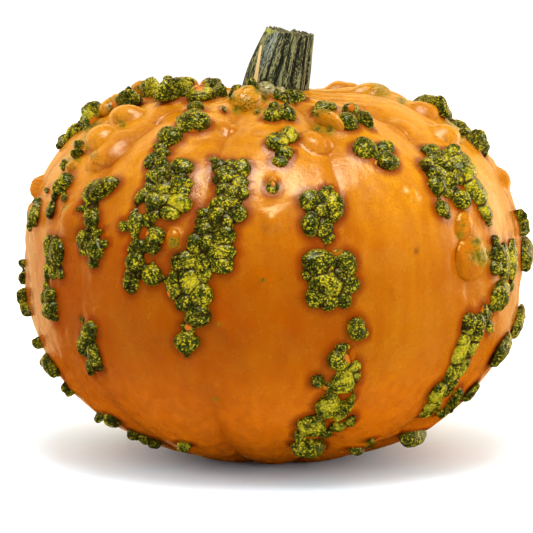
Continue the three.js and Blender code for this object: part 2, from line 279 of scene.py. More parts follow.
@dataclass
class Lobes:
    """Ellipsoids rooted in the skin: a middle and three half-axis vectors each, the last one outwards."""

    centres: np.ndarray
    axes: np.ndarray

    def __len__(self) -> int:
        """How many lobes there are."""
        return len(self.centres)

    @property
    def heights(self) -> np.ndarray:
        """Length of each outward half axis."""
        return np.linalg.norm(self.axes[:, 2], axis=-1)

    @property
    def sizes(self) -> np.ndarray:
        """Mean half width of each lobe along the skin."""
        return np.linalg.norm(self.axes[:, :2], axis=-1).mean(-1)

    @staticmethod
    def joined(*groups: "Lobes") -> "Lobes":
        """All lobes of several groups in one."""
        centres = np.concatenate([g.centres for g in groups])
        return Lobes(centres, np.concatenate([g.axes for g in groups]))

    def part(self, chosen: np.ndarray) -> "Lobes":
        """The lobes that a mask chooses."""
        return Lobes(self.centres[chosen], self.axes[chosen])

    def nearest(self, points: np.ndarray, keep: int = 2, block: int = 4000) -> tuple[np.ndarray, np.ndarray]:
        """The lobes that points lie deepest in, by ellipsoid distance: 0 in the middle, 1 on the surface.

        Args:
            points: the points to look up.
            keep: how many lobes to return for each point.
            block: how many points are worked out at once.

        Returns:
            The distances in rising order and the numbers of their lobes.
        """
        inverse = np.linalg.inv(self.axes)
        middles = np.einsum("li,lij->lj", self.centres, inverse).ravel()
        inverse = inverse.transpose(1, 0, 2).reshape(3, -1)
        ratios, owners = [], []
        for start in range(0, len(points), block):
            local = (points[start:start + block] @ inverse - middles).reshape(-1, len(self), 3)
            q = np.sqrt(np.einsum("plj,plj->pl", local, local))
            order = np.argpartition(q, keep, axis=1)[:, :keep]
            q = np.take_along_axis(q, order, 1)
            rank = np.argsort(q, axis=1)
            ratios.append(np.take_along_axis(q, rank, 1))
            owners.append(np.take_along_axis(order, rank, 1))
        return np.concatenate(ratios), np.concatenate(owners)


@dataclass(frozen=True)
class LobeMaker:
    """Roots lobes in the skin, from the front elevation or from places on the fruit."""

    view: FrontElevation
    lift: float = 0.12
    level_height: float = 2.6
    level_growth: float = 0.4
    least_facing: float = 0.03
    least_slant: float = 0.01
    tallest: float = 1.9
    shallowest: float = 0.6
    deepest: float = 1.05
    most_shear: float = 0.8

    def from_front(self, rows: np.ndarray, roundness: np.ndarray | float) -> Lobes:
        """Lobes that have the given outlines in the front elevation.

        An outline is widened along the direction that the skin foreshortens, and its middle is
        moved inwards, because the skin hides the ellipsoid's root.

        Args:
            rows: x, height, half width, half height and turn in degrees of each outline.
            roundness: height of a lobe over its smaller half width, on skin that faces the eye.

        Returns:
            The lobes.
        """
        x, height, wide, tall_half = rows[:, 0], rows[:, 1], rows[:, 2], rows[:, 3]
        angle = np.radians(rows[:, 4])
        view = self.view
        normal = view.form.normals(view.sight_points(x, height))
        facing = np.maximum(normal @ view.to_eye, self.least_facing)
        slant = np.sqrt(1 - facing ** 2)
        steep = slant > self.least_slant
        safe = np.where(steep, slant, 1)
        out_x = np.where(steep, normal @ view.right / safe, 1)
        out_y = np.where(steep, normal @ view.up / safe, 0)
        along_wide = np.cos(angle) * out_x + np.sin(angle) * out_y
        along_tall = -np.sin(angle) * out_x + np.cos(angle) * out_y
        seen_out = np.hypot(wide * along_wide, tall_half * along_tall)
        seen_round = np.hypot(wide * along_tall, tall_half * along_wide)
        skew = (tall_half ** 2 - wide ** 2) * along_wide * along_tall / facing
        stretch = 1 + (1 - facing) ** 2
        small = np.minimum(seen_out, seen_round)
        plump = np.minimum(roundness * small, self.level_height + self.level_growth * small)
        tall = np.minimum(plump * stretch, self.tallest * seen_out / safe)
        widened = (4 * seen_out ** 2 - (tall * slant) ** 2) / (4 * seen_out * facing)
        low = np.minimum(self.shallowest * seen_round, seen_out)
        deep = np.clip(widened, low, np.maximum(self.deepest * seen_round, seen_out))
        inset = (np.hypot(facing * deep, tall * slant) - facing * deep) / 2
        centre = view.sight_points(x - inset * out_x, height - inset * out_y)
        limit = self.most_shear * seen_round
        shear = np.clip(skew / deep, -limit, limit)
        cross = np.sqrt(seen_round ** 2 - shear ** 2)
        inward = view.to_eye - normal * facing[:, None]
        inward /= np.linalg.norm(inward, axis=-1, keepdims=True)
        side = np.cross(normal, inward)
        first = inward * deep[:, None] + side * shear[:, None]
        axes = np.stack([first, side * cross[:, None], normal * tall[:, None]], 1)
        return Lobes(centre + normal * (self.lift * tall)[:, None], axes)

    def at_stem(self, rows: np.ndarray) -> Lobes:
        """Upright lobes beside the stem.

        Args:
            rows: x, height of the top in the front elevation, distance in front of the axis, half
                width, half depth and height over the widest level of each lobe.

        Returns:
            The lobes.
        """
        view = self.view
        rise = view.view_height(rows[:, 1]) + rows[:, 2] * math.sin(view.tilt)
        z = view.form.waist + rise / math.cos(view.tilt) - rows[:, 5]
        return Lobes(np.stack([rows[:, 0], -rows[:, 2], z], -1), np.eye(3) * rows[:, 3:, None])

    def on_skin(self, rows: np.ndarray, roundness: float) -> Lobes:
        """Lobes by their places on the fruit.

        Args:
            rows: turn and rise in degrees, half width along the level circle and half height
                down the fruit of each lobe.
            roundness: height of a lobe over its smaller half width.

        Returns:
            The lobes.
        """
        turn, rise = np.radians(rows[:, 0]), np.radians(rows[:, 1])
        centre = self.view.form.place(turn, rise)
        normal = self.view.form.normals(centre)
        level = np.stack([np.cos(turn), np.sin(turn), np.zeros_like(turn)], -1)
        level -= normal * (normal * level).sum(-1, keepdims=True)
        level /= np.linalg.norm(level, axis=-1, keepdims=True)
        upward = np.cross(normal, level)
        tall = roundness * np.minimum(rows[:, 2], rows[:, 3])
        axes = np.stack([level * rows[:, 2:3], upward * rows[:, 3:4], normal * tall[:, None]], 1)
        return Lobes(centre + normal * (self.lift * tall)[:, None], axes)


def even_noise(points: np.ndarray, size: float, seed: int = 0) -> np.ndarray:
    """Smooth value noise from -1 to 1 with lumps of the given size.

    Each corner of a cubic lattice gets a value from the fractional part of a large sine, and a
    point blends its eight corners by smooth steps along the three directions.

    Args:
        points: where to work the noise out, in millimetres.
        size: edge of a lattice cell, in millimetres.
        seed: picks another pattern.

    Returns:
        One value for each point.
    """
    scaled = points / size + NOISE_SHIFT * (seed + 1)
    cell = np.floor(scaled)
    part = scaled - cell
    blend = part * part * (3 - 2 * part)
    total = np.zeros(points.shape[:-1])
    for corner in np.ndindex(2, 2, 2):
        node = cell + corner
        value = np.sin(node @ NOISE_MIX + seed) * NOISE_SCALE
        value -= np.floor(value)
        weight = np.where(np.array(corner) == 1, blend, 1 - blend).prod(-1)
        total += weight * value
    return 2 * total - 1


def closed_grid(rows: int, columns: int) -> tuple[np.ndarray, np.ndarray]:
    """Faces of a closed surface of rings, with its ends drawn to one vertex each.

    The rings come first in the vertex list, then the first end and the last end. Rings run
    anticlockwise as seen from the last end, and quads join ring to ring.

    Args:
        rows: number of rings.
        columns: vertices in a ring.

    Returns:
        The quads and the triangles, as arrays of vertex numbers.
    """
    low = np.arange(rows * columns).reshape(rows, columns)
    following = np.roll(low, -1, 1)
    quads = np.stack([low[:-1], following[:-1], following[1:], low[1:]], -1).reshape(-1, 4)
    first, last = rows * columns, rows * columns + 1
    below = np.stack([np.full(columns, first), following[0], low[0]], -1)
    above = np.stack([np.full(columns, last), low[-1], following[-1]], -1)
    return quads, np.concatenate([below, above])


def new_mesh(name: str, points: np.ndarray, *faces: np.ndarray) -> bpy.types.Mesh:
    """A smooth mesh.

    Args:
        name: name of the mesh.
        points: its vertices, in millimetres.
        faces: arrays of vertex numbers, each of faces with the same number of corners.

    Returns:
        The mesh.
    """
    mesh = bpy.data.meshes.new(name)
    mesh.vertices.add(len(points))
    mesh.vertices.foreach_set("co", (points * METRES).astype(np.float32).ravel())
    counts = np.concatenate([np.full(len(f), f.shape[1]) for f in faces])
    corners = np.concatenate([f.ravel() for f in faces])
    mesh.loops.add(len(corners))
    mesh.loops.foreach_set("vertex_index", corners.astype(np.int32))
    mesh.polygons.add(len(counts))
    mesh.polygons.foreach_set("loop_start", (np.cumsum(counts) - counts).astype(np.int32))
    mesh.polygons.foreach_set("use_smooth", np.ones(len(counts), bool))
    mesh.update(calc_edges=True)
    mesh.validate()
    return mesh


def new_object(name: str, data: bpy.types.ID) -> bpy.types.Object:
    """An object in the scene.

    Args:
        name: name of the object.
        data: its mesh, light or camera.

    Returns:
        The object.
    """
    thing = bpy.data.objects.new(name, data)
    bpy.context.scene.collection.objects.link(thing)
    return thing


def move_vertices(mesh: bpy.types.Mesh, points: np.ndarray) -> None:
    """Puts a mesh's vertices at points in millimetres."""
    mesh.vertices.foreach_set("co", (points * METRES).astype(np.float32).ravel())
    mesh.update()


def of_vertices(mesh: bpy.types.Mesh, what: str) -> np.ndarray:
    """Reads a vector of each vertex.

    Args:
        mesh: the mesh.
        what: co for the places, in metres, or normal.

    Returns:
        The vectors.
    """
    flat = np.zeros(len(mesh.vertices) * 3, np.float32)
    mesh.vertices.foreach_get(what, flat)
    return flat.reshape(-1, 3)


def store(mesh: bpy.types.Mesh, name: str, values: np.ndarray) -> None:
    """Keeps values on a mesh, for the materials to read.

    Args:
        mesh: the mesh.
        name: name of the attribute.
        values: a number or a vector for each vertex.
    """
    kind, field_name = ("FLOAT", "value") if values.ndim == 1 else ("FLOAT_VECTOR", "vector")
    attribute = mesh.attributes.new(name, kind, "POINT")
    attribute.data.foreach_set(field_name, values.astype(np.float32).ravel())


# ---------------------------------------------------------------- layout of warts and bulges

# Outlines in the front elevation, string by string: x from the axis, height from the outline's
# lowest point, half width, half height and, where the outline is turned, its turn in degrees.
FRONT_WARTS: dict[str, list[Row]] = {
    "left_skyline": [
        (-117.2, 173.3, 1.6, 2.9, -30), (-115.1, 176.3, 4.2, 2.3, 50), (-109.5, 181.2, 5.6, 2.9, 35),
        (-105.2, 184.6, 3, 2.2, 50), (-101.4, 187, 5.2, 3.6, 60), (-98.9, 191.8, 6.5, 4.6, 50),
        (-81.2, 197.4, 8.5, 4, 12), (-79.9, 203.4, 2.5, 1.7), (-67.2, 204.5, 5.9, 5.6),
        (-57.8, 209.8, 2.8, 1.5), (-52.4, 204.2, 12, 5.9, 25), (-60.5, 200.8, 5.4, 4.8),
        (-34, 206, 6, 3.6), (-29.2, 202.4, 4, 4.6), (-39.2, 200.2, 8, 5.6), (-42.5, 194, 4.5, 2.8),
        (-27, 192.5, 1.5, 3.6),
    ],
    "left_shoulder_string": [
        (-43.9, 185.4, 8.7, 7.2), (-57, 177.4, 6.8, 5.8),
        (-63, 171.6, 3.6, 3.2), (-61.6, 169.4, 4.6, 2.8), (-68.2, 164.5, 3.3, 5), (-61.6, 163.4, 4, 2.8),
        (-64.4, 156.8, 6.2, 3.8, 35), (-68.2, 151.3, 2.7, 2.7), (-72.9, 144.7, 4.8, 2.7, 63),
    ],
    "left_flank": [
        (-107.8, 168.3, 3.6, 2.6), (-106.7, 172.7, 2.2, 3.9), (-115.5, 162.3, 1.7, 3.2),
        (-113.9, 153.5, 4.2, 4.6), (-117.2, 150.2, 3.8, 4.2), (-119.4, 144.7, 2.5, 3),
        (-121.3, 137.5, 2.6, 5.4, -10), (-114.4, 144.1, 1.8, 2.2), (-124.9, 148.5, 1.3, 1.8),
        (-129.8, 141.4, 2.4, 3.3), (-131.5, 134.5, 3.2, 5.6, -10), (-133.5, 129, 1.8, 3.4),
        (-94.6, 148.5, 10.5, 5.6, 28), (-102.3, 138.6, 3.9, 2.6), (-97.9, 139.2, 2.9, 1.9),
        (-99.3, 132.5, 4.5, 5.4), (-100.6, 127.6, 3.3, 2.8), (-103.4, 119.4, 4, 6.9),
        (-96.8, 123.8, 4.4, 2.4, 28), (-97.4, 115.5, 4.8, 5.6), (-93, 118.8, 3, 2.5),
        (-98.5, 108.9, 3.7, 3.4), (-122.7, 116.6, 3, 7.2), (-118.3, 114.4, 4, 7.4),
        (-119.9, 121.8, 4.4, 2.2), (-123.8, 104, 2.2, 4.4), (-120.5, 103.4, 2.5, 4.1),
        (-116.6, 102.3, 2.4, 2.8), (-116.6, 105.6, 1.7, 1.8), (-124.3, 95.7, 1.9, 2.8),
        (-121.6, 90.2, 3.7, 4.1), (-125.4, 89.1, 2.2, 4.4), (-121.6, 83, 4.4, 5.5),
        (-119.4, 79.2, 2.8, 2.8), (-137.7, 108.4, 1.8, 2.4), (-137.5, 100.1, 2, 3.8),
        (-137.2, 89.5, 2.8, 5), (-135.9, 83.6, 2.2, 5, 30), (-129.3, 64.4, 2.4, 3.6),
        (-100.6, 69.9, 4.5, 6.4), (-104.5, 64.4, 2.6, 6.2), (-101.8, 59.4, 2.2, 2.8),
        (-97.3, 57.2, 3.7, 8.3, 12), (-95.7, 51.7, 3.5, 3.4), (-99.6, 52.3, 2.8, 5),
        (-105.3, 77, 1.5, 1.5), (-122.7, 51.7, 3.2, 7.2, 33), (-124.9, 53.4, 2.2, 4.4),
        (-113.9, 40.2, 1.8, 2.8), (-111.1, 37.4, 2.3, 1.9),
    ],
    "lower_left_edge": [
        (-95.2, 23.7, 3, 2.5), (-88.6, 21.5, 5, 3, -28), (-76.5, 13.8, 3.9, 2.6, -30),
        (-70.4, 11.6, 4.4, 2.7, -30), (-66, 9.4, 4.4, 2.7, -20), (-49, 7.7, 4, 3),
    ],
    "left_of_middle": [
        (-50.6, 160.6, 6.4, 4.7), (-55, 157.9, 3.7, 3.9), (-50.6, 152.4, 6.2, 3.7),
        (-60, 149.6, 4.7, 4.7), (-51.2, 147.4, 5.5, 2.9), (-56.7, 152.4, 3.4, 2.9),
        (-65.5, 140.8, 4.5, 5.6), (-60, 141.9, 3.7, 4), (-51.2, 140.8, 6.5, 4.9),
        (-56.1, 135.9, 5.4, 4.3), (-65, 135.3, 3.8, 3.9), (-75.9, 129.8, 3.6, 7.3),
        (-82, 128.7, 2.7, 3.1), (-69.3, 132, 2.4, 3.7), (-74.3, 118.3, 4.5, 3.4), (-77, 116, 3.4, 2.6),
        (-75.1, 114.1, 5, 1.6), (-75.6, 108.9, 5.6, 4.5), (-71.8, 106.7, 2.3, 2.4),
        (-77.8, 99, 4.1, 6.8), (-75.4, 101.8, 2.9, 3.1), (-64.4, 122.7, 5.6, 5.3),
        (-65.5, 117.2, 4.5, 4), (-66, 101.5, 5.4, 5.4), (-66.6, 107.8, 2.1, 1.2, 25),
    ],
    "middle": [
        (-33, 165, 2.1, 2.1), (-29.7, 161.7, 4.1, 3.9), (-23.7, 161.2, 4.5, 3.9),
        (-17.6, 160.1, 5, 5.7), (-25.3, 156.2, 7, 5), (-30, 154.6, 3.7, 3.9), (-19.8, 152.6, 5.5, 3.4),
        (-28.1, 148, 3.8, 4.5), (-23.1, 146.6, 5.1, 3.8), (-17.3, 146.3, 3.8, 4),
        (-27.5, 140.3, 7, 4.3), (-29.7, 134.2, 4.9, 6.2), (-19.8, 134.8, 5.4, 4.5, 20),
        (-26.4, 131.5, 5.9, 4.2), (-26.7, 123.2, 5.9, 5.1), (-28.6, 114.1, 7.8, 4.9),
        (-28.1, 107.3, 6.2, 4.9), (-38, 135.3, 3.9, 3.5), (-38.2, 131.2, 4.8, 2.7),
        (-38.2, 126.2, 5.4, 4.5), (-42.4, 119.4, 4.9, 5.6), (-37.4, 119.9, 4.6, 5),
        (-37.4, 114.4, 2.4, 2),
    ],
    "broad_patch": [
        (-49, 108.4, 7.2, 6.2), (-52.8, 96.8, 5.9, 8.6), (-46.8, 99, 6.8, 7.8), (-38, 105.6, 5, 7),
        (-39.6, 91, 6.5, 6.1), (-48.4, 87.5, 5.8, 5.3), (-41, 79.8, 7.1, 6.1), (-46.5, 73.7, 4.2, 3),
        (-47.3, 65.2, 6.4, 5.5), (-46.8, 58.3, 1.7, 1.5),
    ],
    "under_stem": [
        (0.6, 194, 3, 2.2), (-0.6, 189, 4.8, 3.9), (7.7, 190.3, 4.5, 6.6),
        (8.8, 178.2, 4.4, 6.5), (2.2, 174.4, 5.8, 6), (5.5, 168.3, 4.8, 3.9), (3.9, 164.5, 4.5, 3.2),
        (9.9, 169.4, 1.9, 1.8), (-0.5, 149.6, 3.3, 3),
    ],
    "right_of_stem": [
        (28.6, 194.2, 6.6, 3, 8), (23.1, 190.9, 2.2, 2.5), (42.9, 193, 4.8, 3.4), (40.7, 185.4, 5.8, 6.1),
        (50.1, 187, 4.6, 6.2, 25), (50, 171, 6.3, 6.3), (61, 171, 5, 4.3), (62.7, 163.4, 5.6, 5),
        (58.3, 162.8, 2.5, 2.5),
    ],
    "right_shoulder": [
        (88, 195.3, 9.8, 4.2, -34), (104.5, 179.9, 2.5, 2), (111.6, 175.5, 5.2, 5.8),
        (116, 172.2, 1.9, 3.3), (116, 168.3, 1.6, 1.8), (85.8, 169.9, 5.2, 3.4),
        (89.6, 164.4, 6.2, 4.6), (84, 161.4, 4.4, 4.4), (88.8, 157, 6, 5), (94.6, 161.4, 3.6, 3.6),
        (89.7, 150.6, 5.4, 5.6), (96.6, 152.8, 4.8, 5), (95.6, 147, 3.4, 3.2), (92.6, 138, 4.6, 4.4),
        (95.2, 135, 2.8, 2.8), (103.2, 142.9, 5.4, 5.2), (98.6, 168, 5.6, 5.4),
        (103.5, 161, 11, 5.2, -58), (111, 148, 10, 4.6, -60), (116, 137.4, 7.4, 3.4, -66),
        (118.2, 131, 3, 2.2, -68), (102.2, 154.6, 3, 3.6),
    ],
    "right_flank": [
        (119.9, 112.8, 1.7, 2.2), (121.6, 120.5, 2.8, 3.4), (122.7, 113.9, 3.6, 5),
        (122.1, 105.6, 3.6, 4.4), (127.1, 107.8, 2.8, 12), (124, 90.5, 4.8, 8.5, -15),
        (131.5, 110.5, 2.9, 11), (130.9, 96.8, 1.7, 3.7), (135.8, 134.2, 2.8, 3.8, 25),
        (137.4, 128.2, 3, 5), (138.9, 113.6, 3.4, 9.9), (118.8, 80.9, 1.8, 3.3),
        (118.8, 73.2, 2.4, 3.3), (134.8, 76, 2.9, 9.6, -20), (125.7, 60, 3, 10.6, -30),
        (109.2, 37.1, 2.3, 6.6, -42),
    ],
    "lower_right_band": [
        (115, 79.2, 3, 6.6, -10), (106.7, 74.3, 4.4, 6.8, -10), (111.1, 71.5, 4.3, 9.4, -15),
        (109, 64, 3.6, 11, -22), (102.6, 61, 3.8, 11, -20), (103.5, 52, 3.4, 9, -30),
        (97.4, 47.5, 3.6, 8.5, -28), (96.5, 41, 3.2, 8, -38), (90.3, 37.2, 3.8, 6.4, -38),
        (87, 31, 4.4, 6, -48), (83.6, 27, 4.8, 3, 15), (100.1, 34.1, 3.2, 6, -32), (92.4, 25.9, 3, 2.6),
        (96.8, 28.6, 2.7, 2.7), (77, 12.4, 7.5, 4.2, 20), (46.2, 5, 4.4, 2.3), (54, 10.5, 1.7, 1.7),
    ],
    "right_of_middle": [
        (29.7, 148.5, 3.3, 2.5), (20.4, 142.5, 6.1, 5.5), (27, 144.1, 5, 4.4), (33, 139.2, 5.8, 8),
        (21.5, 129.3, 5.8, 6.3), (27, 127.6, 5.3, 5.5), (29.7, 122.7, 3.8, 3.7), (26, 136, 5, 5),
        (24.5, 108.4, 8.5, 7.4), (19.3, 102.9, 4.1, 4.4), (39.6, 107.8, 5.7, 6.6), (28.6, 97.4, 9.2, 7.2),
        (40.7, 96.8, 6.3, 5), (24.2, 90.2, 6.5, 6.1), (29.2, 87.5, 5.4, 5.2), (38.5, 88.6, 4, 4.8),
        (35, 101.5, 5, 5), (45.7, 72.3, 4.8, 6), (49.5, 70.4, 2.7, 3.3),
    ],
    "lower_middle": [
        (37.4, 62.4, 4.2, 2.6), (35.2, 55.6, 5.7, 5.4), (44.6, 51.2, 3.3, 4.2), (38.5, 44, 8, 6, 15),
        (44, 46.2, 3.9, 6), (24.2, 44, 3.5, 3.8), (29.2, 40.2, 2.2, 1.6), (29.7, 30.8, 6.8, 7.7),
        (38.5, 29.7, 9.2, 4.6, 60), (42.4, 22.6, 3, 4.6), (35.2, 18.7, 3.9, 2.7), (20.9, 19.8, 7.6, 6.7),
        (29.2, 15.4, 3.3, 4.3), (14.9, 14.3, 3.8, 5), (19.3, 7.2, 9, 6.2), (26.4, 8.3, 2.8, 4.4),
    ],
}

# Warts and knobs that crowd the front of the stem's foot: x, height of the top in the front elevation,
# distance in front of the axis, half width, half depth and height over the widest level
STEM_WARTS: list[Row] = [
    (-19.5, 204, 30, 4.6, 5, 9), (-11.5, 206.5, 27, 3.8, 4.5, 10), (2.4, 201, 34, 3, 4.5, 7),
    (6.5, 199.5, 36, 3.4, 4, 6), (11.5, 202, 32, 6.8, 6.5, 8), (16.4, 200, 31, 2.8, 4, 6.5),
]
STEM_KNOBS: list[Row] = [
    (-14.3, 202.5, 41, 10, 11, 11), (-3.9, 206, 26, 7, 6, 10), (2.5, 203.5, 27, 6.5, 6, 8),
]

# Knobs and soft bulges of the skin, laid out like the warts, with their height over their smaller half width
FRONT_KNOBS: list[Row] = [
    (30.5, 186.5, 9.5, 6, -40, 0.8), (35.2, 113.8, 3.8, 2.6, 0, 0.8), (-54.5, 121.6, 4.2, 5.6, 0, 0.6),
    (42.9, 58.3, 2.4, 3.7, 0, 0.7), (-9, 190.8, 2.2, 2.5, 0, 0.8),
    (57.2, 163.2, 2.2, 2.2, 0, 0.7), (9.9, 169.7, 1.9, 1.9, 0, 0.8), (-98.4, 187, 4, 2.6, 40, 0.6),
    (-0.5, 153.2, 2.5, 2.4, 0, 0.7), (97.4, 147.4, 2.4, 2.4, 0, 0.7), (-88.6, 196.6, 9, 4.6, 30, 0.7),
    (-73, 204.6, 7.4, 4.6, 0, 0.7), (104.4, 129, 5.4, 8, 0, 0.7), (108.4, 110.5, 10.4, 12, -12, 0.5),
]
FRONT_BULGES: list[Row] = [
    (-81.4, 190.6, 9.5, 7.5, 0, 0.75), (-93.5, 179, 9.5, 9.5, 0, 0.7), (-96, 166, 7.5, 8, 0, 0.5),
    (23.5, 176, 8.6, 9.6, 0, 0.5), (-87, 173, 10, 13, -20, 0.4), (-134.8, 137, 2.2, 5.5, 0, 0.5),
    (-110.5, 132.5, 7, 9.4, 0, 0.5), (-54.5, 121, 5.5, 7, 0, 0.35), (-131, 150.5, 5, 6.6, 0, 0.5),
    (-111, 162.3, 4.4, 4.1, 0, 0.6), (55, 206, 13, 5, 0, 0.4), (38, 206, 9, 5, 0, 0.4),
    (57.8, 203.5, 7, 3, 0, 0.5), (83.6, 193.6, 7.5, 4, -30, 0.6), (95.2, 180.5, 8, 8, 0, 0.5),
    (128, 154, 3.9, 7.7, 0, 0.5), (-1.5, 131, 5, 5, 0, 0.3), (75.5, 146, 4, 4, 0, 0.3),
    (-7, 182, 7, 3, 0, 0.4), (-25, 183, 6, 8, 0, 0.35), (70, 182, 9, 6, 0, 0.3),
    (-60, 190, 8, 5, 0, 0.35),
]

# Pimples and pits of the skin: x, height, half width and how far they stand out, or in if negative
FRONT_PIMPLES: list[Row] = [
    (-9, 120, 2.2, 1.1), (-4, 117, 2.2, 1.2), (-6, 99, 3.6, 1.4), (-28, 75, 3.2, 1.3),
    (-25, 70, 2.2, 0.9), (-0.5, 155, 2.9, 1.6), (-7, 172.5, 3, 0.9), (-12.5, 150, 3, 0.8),
    (-58, 57, 3.2, 1.4), (-43, 56.5, 3.2, 1.2), (-47, 58, 2, 0.9), (73.5, 137, 2.4, 1.1),
    (75.5, 146, 5, 1.3), (-99, 101, 1.9, 0.7), (-97, 81.5, 2, 0.8), (-114.5, 71.5, 2, -0.5),
    (-114, 68, 2, -0.5), (-117.5, 59.5, 2.2, -0.6), (-110, 58, 2.2, -0.6), (-103.5, 45.5, 2.2, -0.6),
    (-22.5, 4, 2.6, 1.2), (-1.5, 131, 6, 1.5), (5, 117, 3, 0.8), (60, 117, 2, 0.6), (79, 115, 2, -1.3),
    (72, 38, 2.4, -0.7), (-32, 33, 3, -0.7), (10, 170, 2, 1), (-66, 168, 7, -1.2), (-22, 128, 4, 0.6),
    (4, 137, 4, 0.6), (-30, 62, 9, -0.9), (-12, 66, 10, 0.7), (20, 70, 12, -0.7),
]

# Shades of the front's warts: x, height, how far the shade spreads, and the shade
FRONT_SHADES: list[tuple[float, float, float, Bright]] = [
    (-53.5, 139, 8, Bright.LIME), (-60.5, 148.5, 4, Bright.LIME), (-51, 149.5, 5, Bright.OLIVE),
    (-45.5, 98, 8, Bright.LIME), (-28, 112, 7, Bright.OLIVE), (-21, 154, 5, Bright.OLIVE),
    (32, 97, 8, Bright.OLIVE), (104, 58, 16, Bright.LIME), (88, 32, 9, Bright.LIME),
    (41, 46, 8, Bright.LIME), (32, 30, 9, Bright.LIME), (36, 20, 6, Bright.LIME),
    (20, 17, 7, Bright.LIME), (9, 177.5, 5, Bright.LIME), (98, 168, 6, Bright.LIME),
    (108, 154, 8, Bright.LIME), (115, 139, 6, Bright.LIME), (-102, 191, 5, Bright.LIME),
    (-67, 206, 6, Bright.LIME), (-111, 181, 4, Bright.LIME), (-46, 207, 6, Bright.LIME),
    (-37, 199, 6, Bright.OLIVE), (133, 107, 9, Bright.OLIVE), (122, 92, 9, Bright.OLIVE),
    (-74, 108, 8, Bright.OLIVE), (31.5, 143, 6, Bright.OLIVE), (-48, 8, 4, Bright.LIME),
]

# Orange left on warts: x, height and how far it spreads
FRONT_ORANGES: list[Row] = [
    (-54, 121, 5), (-98, 186, 4), (-43.5, 179, 4.5), (-89, 195, 5), (-41, 206, 4.5), (-71, 125, 3),
    (35, 115.5, 4), (-59, 91, 3), (42, 56, 4), (-0.5, 152, 2), (-47, 73, 3), (28, 40, 2), (113, 84, 4),
    (43, 194, 3),
]

# Green on the skin itself: x, height and how far it spreads
FRONT_GREENS: list[Row] = [
    (-8, 204, 4.5), (-5, 199, 3), (-23, 200, 4), (-15, 206, 3.5), (-20, 192, 3.5), (-8, 192, 3),
    (-4, 202.5, 3), (6, 204, 3.5), (115, 112, 7), (112, 120, 4), (60, 208, 11), (48, 209, 7),
    (-103, 182, 3), (-108, 166, 3), (128, 160, 3), (98, 182, 6), (103, 179, 4), (-6, 99, 1.6),
    (-30, 75, 1.4), (-32, 33, 1.7), (27, 194, 4), (24, 190, 2.5), (32, 194, 3.5), (-112, 138, 3),
    (31, 181.5, 4), (-133, 155, 3), (103, 124, 3), (-9, 190.6, 2.5), (53, 8, 3), (-103, 177, 2),
    (71, 198, 4), (-54, 119, 4), (-88, 193, 4), (-98, 184, 4), (-101, 173, 3), (-83, 184, 3),
    (-114, 165, 3), (24, 182, 4), (-46, 206, 4),
]

# Fine olive specks on the skin: x, height and how far they spread
FRONT_SPECKLES: list[Row] = [
    (-15, 197, 10), (30, 193, 4), (-89, 196, 9), (-72, 205, 7), (-98, 180, 10),
    (-96, 166, 5), (-111, 162, 5), (98, 183, 9), (112, 112, 9),
    (60, 208, 13), (35, 115, 4), (-54, 121, 5), (104, 130, 5), (24, 180, 5), (-8, 191, 4),
]

# Dark spots in the skin: x, height and how far each spreads
FRONT_PITS: list[Row] = [(79, 115, 1.3), (-6, 99, 1)]

# Corky, pale skin round the stem's foot: x, height and how far it spreads
FRONT_CORK: list[Row] = [
    (-4, 205, 5.5), (2, 202.5, 4), (-6, 208, 4), (-1, 206, 4), (5, 203, 2.5), (3, 206, 4), (6.5, 203.5, 3),
]


def seeded_draw(seed: int) -> Callable[[float, float], float]:
    """A Park-Miller generator.

    Args:
        seed: where the draws start.

    Returns:
        A function that gives the next number between two limits.
    """
    state = seed

    def draw(low: float, high: float) -> float:
        """Draws the next number.

        Args:
            low: the lower limit.
            high: the upper limit.

        Returns:
            A number between them.
        """
        nonlocal state
        state = (state * PARK_MILLER_FACTOR) % PARK_MILLER_PRIME
        return low + (high - low) * (state / PARK_MILLER_PRIME)

    return draw


